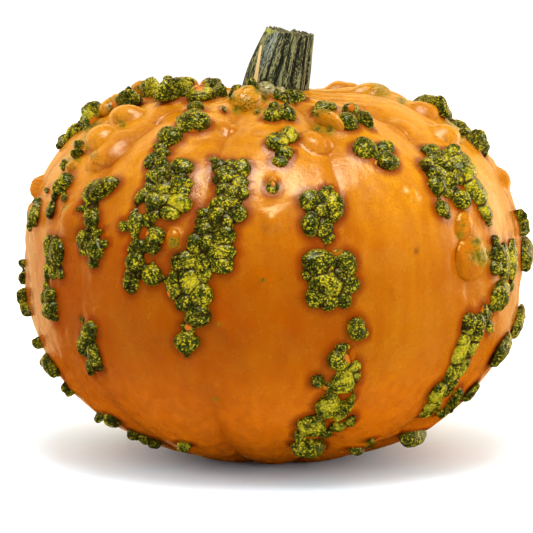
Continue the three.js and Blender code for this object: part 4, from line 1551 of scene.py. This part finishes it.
@dataclass
class Growths:
    """One piece of many lobes, run together where they grow into each other, with creases between them."""

    name: str
    relief: SkinRelief
    lobes: Lobes
    finish: bpy.types.Material
    voxel: float = 0.735
    columns: int = 26
    rows: int = 15
    boxiness: float = 0.8
    root: float = 0.35
    lowest: float = 0.4
    closing: float = 0.85
    relaxing: float = 0.6
    passes: int = 3
    lump: float = 0.08
    lump_size: float = 4.2
    fold_squash: Triple = (0.8, 0.8, 1.5)
    fold_size: float = 5.5
    fold_width: float = 0.13
    fold_patch_size: float = 13.0
    fold_share: float = 0.6
    # fold_shade, crease_line and rim_width shape the painted shade in folds, creases and along the skin.
    fold_shade: float = 0.75
    crease_depth: float = 0.8
    crease_share: float = 0.2
    crease_width: float = 0.75
    crease_wander: float = 0.35
    crease_wander_size: float = 3.0
    crease_line: float = 0.6
    groove_share: float = 0.85
    valley_share: float = 0.3
    valley_times: float = 2.8
    bump_height: float = 0.22
    bump_size: float = 2.1
    grain_height: float = 0.1
    grain_size: float = 1.1
    rim_width: float = 0.5

    def unit_lobe(self) -> np.ndarray:
        """A lobe of half width 1 in rings from root to tip, fuller than a ball.

        The radius is sin(v)^boxiness and the height |cos(v)|^boxiness, less deep below the middle.

        Returns:
            The vertices, with the two ends last.
        """
        v = np.pi * np.arange(1, self.rows) / self.rows
        u = 2 * np.pi * np.arange(self.columns) / self.columns
        radius = (np.sin(v) ** self.boxiness)[:, None]
        level = -np.sign(np.cos(v)) * np.abs(np.cos(v)) ** self.boxiness
        level = np.where(level < 0, level * self.root, level)[:, None]
        rings = np.stack([radius * np.cos(u), radius * np.sin(u), level + 0 * u], -1)
        return np.concatenate([rings.reshape(-1, 3), [[0, 0, -self.root], [0, 0, 1]]])

    def lobe_points(self) -> np.ndarray:
        """Every lobe's vertices: the unit lobe through its axes, swollen by noise and set on the relief.

        Each is larger by the closing, which the fused piece is brought in by again, so that the
        clefts between neighbours fill up.

        Returns:
            The vertices of all lobes, one lobe after another.
        """
        form = self.relief.view.form
        larger = 1 + self.closing / self.lobes.sizes
        arms = np.einsum("ki,lij->lkj", self.unit_lobe(), self.lobes.axes) * larger[:, None, None]
        points = self.lobes.centres[:, None, :] + arms
        swelling = self.lump * even_noise(points, self.lump_size, 3)
        points = (points + arms * swelling[..., None]).reshape(-1, 3)
        turn, rise, distance = form.angles(points)
        points += (points - form.centre) * (self.relief.height(turn, rise) / distance)[:, None]
        points[:, 2] = np.maximum(points[:, 2], self.lowest)
        return points

    def fused(self) -> bpy.types.Mesh:
        """One skin over all the lobes, remeshed in small even faces, so that they run together.

        Returns:
            The mesh of the piece, still larger by the closing.
        """
        quads, ends = closed_grid(self.rows - 1, self.columns)
        shift = (len(self.unit_lobe()) * np.arange(len(self.lobes)))[:, None, None]
        faces = [(f + shift).reshape(-1, f.shape[1]) for f in (quads, ends)]
        single = new_object("lobes", new_mesh("lobes", self.lobe_points(), *faces))
        skin = single.modifiers.new("skin", "REMESH")
        skin.mode = "VOXEL"
        skin.voxel_size = self.voxel * METRES
        bpy.context.view_layer.update()
        mesh = bpy.data.meshes.new_from_object(single.evaluated_get(bpy.context.evaluated_depsgraph_get()))
        lobes = single.data
        bpy.data.objects.remove(single)
        bpy.data.meshes.remove(lobes)
        mesh.materials.clear()
        mesh.name = self.name
        return mesh

    def relaxed(self, mesh: bpy.types.Mesh) -> np.ndarray:
        """Moves each vertex part of the way to the mean of its neighbours, some times over.

        Args:
            mesh: the fused piece.

        Returns:
            The places of its vertices.
        """
        points = of_vertices(mesh, "co").astype(float) / METRES
        flat = np.zeros(len(mesh.edges) * 2, np.int32)
        mesh.edges.foreach_get("vertices", flat)
        tail, head = np.concatenate([flat.reshape(-1, 2), flat.reshape(-1, 2)[:, ::-1]]).T
        count = np.bincount(tail, minlength=len(points))[:, None]
        for _ in range(self.passes):
            total = [np.bincount(tail, points[head, axis], len(points)) for axis in range(3)]
            points += self.relaxing * (np.stack(total, -1) / count - points)
        return points

    def folds(self, points: np.ndarray) -> np.ndarray:
        """Narrow folds, where a noise drawn out sideways is zero, in patches.

        Args:
            points: the piece's vertices.

        Returns:
            Share of a fold's depth at each, from 0 to 1.
        """
        lines = even_noise(points * self.fold_squash, self.fold_size, 21)
        patches = np.clip(2.5 * even_noise(points, self.fold_patch_size, 22) + 0.6, 0, 1)
        return patches * np.exp(-(lines / self.fold_width) ** 2)

    def build(self) -> None:
        """Makes the piece, carved by creases in wide valleys and by folds, with what its finish reads."""
        view = self.relief.view
        mesh = self.fused()
        points = self.relaxed(mesh)
        move_vertices(mesh, points)
        normal = of_vertices(mesh, "normal")
        points -= self.closing * normal
        turn, rise, distance = view.form.angles(points)
        raised = self.relief.height(turn, rise)
        plain = points - (points - view.form.centre) * (raised / distance)[:, None]
        near, owner = self.lobes.nearest(plain, 2)
        size = self.lobes.sizes[owner[:, 0]]
        wander = self.crease_wander * even_noise(points, self.crease_wander_size, 23)
        gap = (near[:, 1] - near[:, 0]) * size + wander
        fold = self.folds(points)
        depth = np.minimum(self.crease_depth, self.crease_share * size)
        widths = (self.crease_width, self.valley_times * self.crease_width)
        groove, valley = (np.exp(-(gap / width) ** 2) for width in widths)
        crease = self.groove_share * groove + self.valley_share * valley
        carved = depth * np.maximum(crease, self.fold_share * fold)
        bumps = self.bump_height * even_noise(points, self.bump_size, 13)
        bumps = bumps + self.grain_height * even_noise(points, self.grain_size, 14)
        move_vertices(mesh, points + normal * (bumps - carved)[:, None])
        mesh.polygons.foreach_set("use_smooth", np.ones(len(mesh.polygons), bool))
        # The rim and the lines carry painted shade along the skin and in the creases and folds.
        rim = np.exp(-(np.maximum(view.form.outside(plain), 0) / self.rim_width) ** 2)
        lines = np.maximum(np.exp(-(gap / self.crease_line) ** 2), self.fold_shade * fold)
        self.keep(mesh, plain, owner[:, 0], lines, rim)
        dress(new_object(self.name, mesh), self.finish, "rind", "fruit")

    def keep(self, mesh: bpy.types.Mesh, skin: np.ndarray, owner: np.ndarray, lines: np.ndarray,
             rim: np.ndarray) -> None:
        """Keeps on the vertices what the finish reads.

        Args:
            mesh: the piece.
            skin: its vertices, brought down by the relief of the skin.
            owner: the lobe of each vertex.
            lines: from 0 to 1, how deep in a crease or fold each vertex lies, as a share of painted shade.
            rim: from 0 to 1, how close to the skin it lies.
        """
        raise NotImplementedError


@dataclass
class Warts(Growths):
    """Green warts."""

    # crease_rim: share of painted shade along the skin.
    crease_rim: float = 0.8
    shade_seed: int = 8
    lobe_shades: Range = (-0.35, 0.55)
    front_variety: float = 0.35
    back_variety: float = 0.9
    back_from: float = 40.0

    def shades(self, points: np.ndarray, owner: np.ndarray) -> np.ndarray:
        """Shades of the warts: the brightest spot over a point, with a random shade for its lobe.

        Args:
            points: the piece's vertices.
            owner: the lobe of each.

        Returns:
            The shade of each, 0 for dark green and 1 for lime.
        """
        spots = np.zeros(len(points))
        for level in Bright:
            marks = [spot for *spot, shade in FRONT_SHADES if shade is level]
            spots = np.maximum(spots, level.value * spread_of(self.relief.view, points, marks))
        draws = np.random.default_rng(self.shade_seed)
        random = draws.uniform(*self.lobe_shades, len(self.lobes))[owner]
        hidden = np.clip(points[:, 1] / self.back_from, 0, 1)
        return spots + random * (self.front_variety + self.back_variety * hidden)

    def keep(self, mesh: bpy.types.Mesh, skin: np.ndarray, owner: np.ndarray, lines: np.ndarray,
             rim: np.ndarray) -> None:
        """Keeps the wart shade, the painted shade in the creases and along the skin, and the orange spots.

        Args:
            mesh, skin, owner, lines, rim: as in Growths.keep.
        """
        store(mesh, "shade", self.shades(skin, owner))
        # Painted shade in the creases and along the skin.
        store(mesh, "crease", np.maximum(lines, self.crease_rim * rim))
        store(mesh, "orange", spread_of(self.relief.view, skin, FRONT_ORANGES))


@dataclass
class Knobs(Growths):
    """Knobs of the skin itself: rounder lobes with shallow creases, no folds, and painted shade in the
    creases and at the redder foot.
    """

    boxiness: float = 0.95
    root: float = 0.9
    crease_depth: float = 0.4
    # The next three set the painted shade in the creases and at the redder foot.
    line_shade: float = 0.5
    rim_shade: float = 0.15
    rim_contact_shade: float = 0.6

    def folds(self, points: np.ndarray) -> np.ndarray:
        """A knob has none."""
        return np.zeros(len(points))

    def keep(self, mesh: bpy.types.Mesh, skin: np.ndarray, owner: np.ndarray, lines: np.ndarray,
             rim: np.ndarray) -> None:
        """Keeps the marks of the skin, and the painted shade in the creases and at the redder foot.

        Args:
            mesh, skin, owner, lines, rim: as in Growths.keep.
        """
        store_marks(mesh, self.relief.view, skin)
        # Painted shade in the creases and at the redder foot.
        store(mesh, "crease", np.maximum(self.line_shade * lines, self.rim_shade * rim))
        store(mesh, "contact_shade", self.rim_contact_shade * rim)


@dataclass
class Stem:
    """The cut stalk: a ribbed stub that flares into the fruit, leans right and ends in a torn cut."""

    view: FrontElevation
    foot: float = 190.0
    top: float = 233.0
    foot_radius: float = 19.0
    top_radius: float = 13.4
    taper: float = 1.8
    lean: float = 9.3
    lean_power: float = 1.5
    ridges: int = 9
    groove: float = 1.5
    minor_ratio: float = 3.2
    minor_groove: float = 0.8
    fibre_radius: float = 22.0
    fibre_stretch: float = 3.0
    fine_fibre: float = 0.28
    fine_fibre_size: float = 0.9
    broad_fibre: float = 0.3
    broad_fibre_size: float = 3.0
    ragged_from: float = 0.93
    ragged_height: float = 1.3
    ragged_size: float = 2.2
    left_swell: float = 1.1
    left_swell_width: float = 0.6
    left_swell_end: float = 0.95
    cut_slope: float = -0.17
    cut_depth: float = 1.6
    cut_relief: float = 0.5
    cut_relief_size: float = 1.8
    columns: int = 300
    rows: int = 110
    cap_rows: int = 24
    tear_top: float = 228.0
    tear_length: float = 20.0
    tear_x: float = -6.6
    tear_run: float = -3.3
    tear_width: float = 0.6
    tear_growth: float = 0.7
    tear_longest: float = 1.2
    corner_at: float = 205.0
    corner_width: float = 0.5
    corner_span: Range = (0.93, 0.97)
    frost_at: float = 232.0
    frost_width: float = 0.2
    frost_span: Range = (0.5, 0.8)
    seams: tuple[float, ...] = (249.0, 265.0, 298.0, 318.0)
    seam_width: float = 0.035
    grain_radius: float = 16.0

    @staticmethod
    def near(angle: np.ndarray, middle: float, width: float) -> np.ndarray:
        """A bell round the stub: 1 at the middle angle, and fading over the width in radians."""
        off = np.angle(np.exp(1j * (angle - middle)))
        return np.exp(-(off / width) ** 2)

    def wall(self, share: np.ndarray, angle: np.ndarray) -> tuple[np.ndarray, np.ndarray]:
        """Wall of the stub.

        The centre line leans by a power of the share, the radius tapers by another, and the ridges
        are one minus |cosine| deep, spaced a little unevenly. Fine fibres run up it, the left side
        swells and the rim is ragged.

        Args:
            share: how far up the stub each point is, from 0 to 1.
            angle: angle round the stub, from the right towards the back.

        Returns:
            The points, and how far each stands on a ridge, from 0 to 1.
        """
        uneven = self.ridges / 2 * angle + 0.5 * np.sin(angle + 1)
        crest = np.abs(np.cos(uneven))
        minor = np.abs(np.cos(self.minor_ratio * uneven + 0.6))
        radius = self.foot_radius - (self.foot_radius - self.top_radius) * share ** self.taper
        across = self.fibre_radius
        circle = np.stack([np.cos(angle) * across, np.sin(angle) * across, share * self.fibre_stretch], -1)
        fibre = self.fine_fibre * even_noise(circle, self.fine_fibre_size, 5)
        fibre = fibre + self.broad_fibre * even_noise(circle, self.broad_fibre_size, 6)
        radius = radius - self.groove * (1 - crest) - self.minor_groove * (1 - minor) + fibre
        at_rim = np.clip((share - self.ragged_from) / (1 - self.ragged_from), 0, 1)
        ragged = at_rim * even_noise(circle, self.ragged_size, 9) * self.ragged_height
        slope = self.cut_slope * share ** 3 * radius * np.cos(angle)
        end = self.left_swell_end
        swell = self.left_swell * self.near(angle, np.pi, self.left_swell_width)
        radius = radius + swell * np.sin(np.pi * np.clip(share, 0, end) / end)
        z = self.foot + (self.top - self.foot) * share + slope + ragged
        x = self.lean * share ** self.lean_power + radius * np.cos(angle)
        return np.stack([x, radius * np.sin(angle), z], -1), crest * 0.7 + minor * 0.3

    def torn(self, points: np.ndarray) -> np.ndarray:
        """The torn edge: a straight stripe in the front elevation, wider lower down.

        Args:
            points: the stub's vertices.

        Returns:
            Share of the tear at each, from 0 to 1.
        """
        x, height = self.view.seen(points)
        down = (self.tear_top - height) / self.tear_length
        width = self.tear_width + self.tear_growth * down.clip(0, self.tear_longest)
        stripe = np.exp(-((x - self.tear_x - self.tear_run * down) / width) ** 2)
        return stripe * (down > 0) * (points[:, 1] < 0)

    def marks(self, angle: np.ndarray, share: np.ndarray) -> dict[str, np.ndarray]:
        """What the finish reads besides ridges, cut, tear and grain.

        Args:
            angle: angle round the stub of each ring's vertices.
            share: how far up the stub they are.

        Returns:
            The fresh corner, the frosted facet and the seams, from 0 to 1.
        """
        corner = self.near(angle, np.radians(self.corner_at), self.corner_width)
        frost = self.near(angle, np.radians(self.frost_at), self.frost_width)
        (low, high), (frost_low, frost_high) = self.corner_span, self.frost_span
        return {
            "corner": corner * np.clip((share - low) / (high - low), 0, 1),
            "frost": frost * np.clip((share - frost_low) / (frost_high - frost_low), 0, 1),
            "seam": sum(self.near(angle, np.radians(seam), self.seam_width) for seam in self.seams),
        }

    def build(self) -> None:
        """Makes the stub, closes it with a sunken, fibrous cut, and keeps what its finish reads."""
        angle = 2 * np.pi * np.arange(self.columns) / self.columns
        share = np.linspace(0, 1, self.rows)[:, None]
        angle, share = np.broadcast_arrays(angle, share)
        wall, ridge = self.wall(share, angle)
        rim = wall[-1]
        middle = rim.mean(0)
        inward = (1 - np.arange(1, self.cap_rows) / self.cap_rows)[:, None, None]
        cap = middle + (rim - middle) * inward
        cap[..., 2] += -self.cut_depth * (1 - inward[..., 0] ** 4) + self.cut_relief * even_noise(
            cap, self.cut_relief_size, 10)
        rings = np.concatenate([wall, cap])
        poles = [[0, 0, self.foot]], [middle - [0, 0, self.cut_depth]]
        points = np.concatenate([rings.reshape(-1, 3), *poles])
        mesh = new_mesh("stalk", points, *closed_grid(len(rings), self.columns))
        flat = cap.shape[:2]
        around = np.concatenate([angle, np.broadcast_to(angle[0], flat)])
        up = np.concatenate([share, np.ones(flat)])
        ridge = np.concatenate([ridge, np.ones(flat)])
        cut = np.concatenate([np.zeros(wall.shape[:2]), np.ones(flat)])
        marks = {"ridge": ridge, "cut": cut, **self.marks(around, up)}
        for name, values in marks.items():
            store(mesh, name, np.concatenate([values.ravel(), np.zeros(2)]))
        across = self.grain_radius
        grain = np.stack([np.cos(around) * across, np.sin(around) * across, up * (self.top - self.foot)], -1)
        store(mesh, "torn", self.torn(points))
        store(mesh, "grain", METRES * np.concatenate([grain.reshape(-1, 3), np.zeros((2, 3))]))
        dress(new_object("stalk", mesh), StemFinish().material(), "stem", "stem")


# ---------------------------------------------------------------- studio


@dataclass(frozen=True)
class SoftBox:
    """A square soft light that shines on a point, with its place, aim and size in metres."""

    name: str
    place: Triple
    aim: Triple
    size: float
    power: float
    mirrored: bool = True
    colour: Triple = (1, 1, 1)

    def build(self) -> None:
        """Hangs the light."""
        light = bpy.data.lights.new(self.name, "AREA")
        light.shape = "SQUARE"
        light.size = self.size
        light.energy = self.power
        light.color = self.colour
        lamp = new_object(self.name, light)
        lamp.visible_glossy = self.mirrored
        aim_at(lamp, np.array(self.place), np.array(self.aim))


def aim_at(thing: bpy.types.Object, place: np.ndarray, target: np.ndarray) -> None:
    """Puts a light or camera in a place and turns its -Z to a target with +Y up.

    Args:
        thing: the light or camera.
        place: where it goes, in metres.
        target: what it looks at, not straight below or above it.
    """
    back = Vector(place - target).normalized()
    side = Vector((0, 0, 1)).cross(back).normalized()
    turn = Matrix((side, back.cross(side), back)).transposed()
    thing.matrix_world = Matrix.Translation(Vector(place)) @ turn.to_4x4()


PEACH: Triple = (1, 0.7, 0.32)
CREAM: Triple = (1, 0.88, 0.72)
SOFT_BOXES: tuple[SoftBox, ...] = (
    SoftBox("key", (0.02, -0.5, 1.6), (0, 0, 0.1), 0.8, 18.5),
    SoftBox("low", (0.95, -0.8, 0.2), (0, 0, 0.05), 0.5, 7, False),
    SoftBox("low_left", (-0.8, -0.9, 0.3), (0, 0, 0.05), 0.5, 2.2, False),
    SoftBox("left", (-1.4, 0.3, 0.5), (0, 0, 0.1), 0.8, 7, False),
    SoftBox("right", (1.27, 0.6, 0.4), (0, 0, 0.1), 0.8, 6, True, CREAM),
    SoftBox("right_fill", (1.4, -0.1, 0.3), (0, 0, 0.1), 0.8, 4.5, False),
    SoftBox("left_rim", (-0.9, 1.3, 0.4), (0, 0, 0.1), 2.2, 22, True, PEACH),
    SoftBox("right_rim", (0.9, 1.4, 0.5), (0, 0, 0.1), 2.2, 20, True, PEACH),
)


@dataclass
class Studio:
    """Pale floor, soft lights and the camera.

    The floor's colour steps from under to near and from near to far between two distances from
    the part's origin each, in metres. Under and near the fruit it is painted bluer, to cancel the
    orange light that the fruit throws on it.
    """

    view: FrontElevation
    floor_half: float = 6.0
    # Under and near the fruit the floor is painted bluer, to cancel the orange light that the fruit throws
    # on it.
    under: Colour = (0.7, 0.86, 1, 1)
    near: Colour = (0.8, 0.92, 1, 1)
    far: Colour = (0.93, 0.93, 0.93, 1)
    under_to_near: Range = (0.05, 0.12)
    near_to_far: Range = (0.1, 0.4)
    overhead: Triple = (0.0, -0.5, 2.0)
    overhead_spread: float = 110.0
    overhead_power: float = 1.7
    backdrop: float = 1.1
    ambient: float = 0.56
    sensor: float = 36.0
    aim_right: float = -3.6
    aim_height: float = 106.4
    clip_end: float = 30.0

    def floor(self) -> None:
        """A pale floor, painted bluer near the fruit to cancel the orange light that the fruit throws on it.
        """
        half = self.floor_half / METRES
        corners = np.array([[-half, -half, 0], [half, -half, 0], [half, half, 0], [-half, half, 0]])
        floor = new_object("floor", new_mesh("floor", corners, np.array([[0, 1, 2, 3]])))
        s = Shading("floor")
        away = s.node("ShaderNodeVectorMath", {0: s.place()}, operation="LENGTH").outputs["Value"]
        near = s.mix(s.step(away, *self.under_to_near), self.under, self.near)
        white = s.mix(s.step(away, *self.near_to_far), near, self.far)
        shader = s.node("ShaderNodeBsdfDiffuse", {"Color": white})
        s.node("ShaderNodeOutputMaterial", {"Surface": shader.outputs[0]})
        floor.data.materials.append(s.material)
        floor.visible_glossy = False

    def lights(self) -> None:
        """A wide even light from overhead, and soft boxes in front of it, low down, beside and behind."""
        sky = bpy.data.lights.new("overhead", "SUN")
        sky.angle = math.radians(self.overhead_spread)
        sky.energy = self.overhead_power
        lamp = new_object("overhead", sky)
        lamp.visible_glossy = False
        aim_at(lamp, np.array(self.overhead), np.zeros(3))
        for box in SOFT_BOXES:
            box.build()

    def surroundings(self) -> None:
        """White beyond the floor, and a dim even light from all round."""
        world = bpy.data.worlds.new("studio")
        world.use_nodes = True
        nodes, links = world.node_tree.nodes, world.node_tree.links
        nodes.clear()
        rays = nodes.new("ShaderNodeLightPath")
        mix = nodes.new("ShaderNodeMixShader")
        output = nodes.new("ShaderNodeOutputWorld")
        links.new(rays.outputs["Is Camera Ray"], mix.inputs[0])
        for place, strength in ((1, self.ambient), (2, self.backdrop)):
            white = nodes.new("ShaderNodeBackground")
            white.inputs[0].default_value = (1, 1, 1, 1)
            white.inputs[1].default_value = strength
            links.new(white.outputs[0], mix.inputs[place])
        links.new(mix.outputs[0], output.inputs[0])
        world.cycles_visibility.glossy = False
        bpy.context.scene.world = world
        bpy.context.scene.view_settings.view_transform = "Standard"

    def camera(self) -> None:
        """The camera at the elevation's eye, framed so that a picture unit is PICTURE_SCALE millimetres."""
        camera = bpy.data.cameras.new("camera")
        camera.sensor_width = self.sensor
        camera.lens = self.sensor * self.view.eye / (PICTURE * PICTURE_SCALE)
        camera.clip_end = self.clip_end
        thing = new_object("camera", camera)
        up = self.view.view_height(self.aim_height)
        shift = self.view.right * self.aim_right + self.view.up * up
        place = (self.view.eye_point + shift) * METRES
        aim_at(thing, place, (self.view.form.centre + shift) * METRES)
        bpy.context.scene.camera = thing

    def build(self) -> None:
        """Sets the studio up."""
        self.floor()
        self.lights()
        self.surroundings()
        self.camera()


def main() -> None:
    """Builds the squash and its studio."""
    logging.basicConfig(level=logging.INFO, format="%(name)s: %(message)s")
    view = FrontElevation(RindForm())
    layout = WartLayout(LobeMaker(view))
    front, hidden, knobs = layout.front(), layout.hidden(), layout.knobs()
    Studio(view).build()
    relief = SkinRelief(view, layout.bulges())
    rind = RindFinish().material()
    Rind(relief, Lobes.joined(front, hidden), rind).build()
    Knobs("knobs", relief, knobs, rind).build()
    finish = WartFinish().material()
    left = front.centres[:, 0] < WARTS_PART_AT
    Warts("left_warts", relief, front.part(left), finish).build()
    Warts("right_warts", relief, front.part(~left), finish).build()
    Warts("back_warts", relief, hidden, finish, voxel=BACK_VOXEL).build()
    Stem(view).build()


if __name__ == "__main__":
    main()
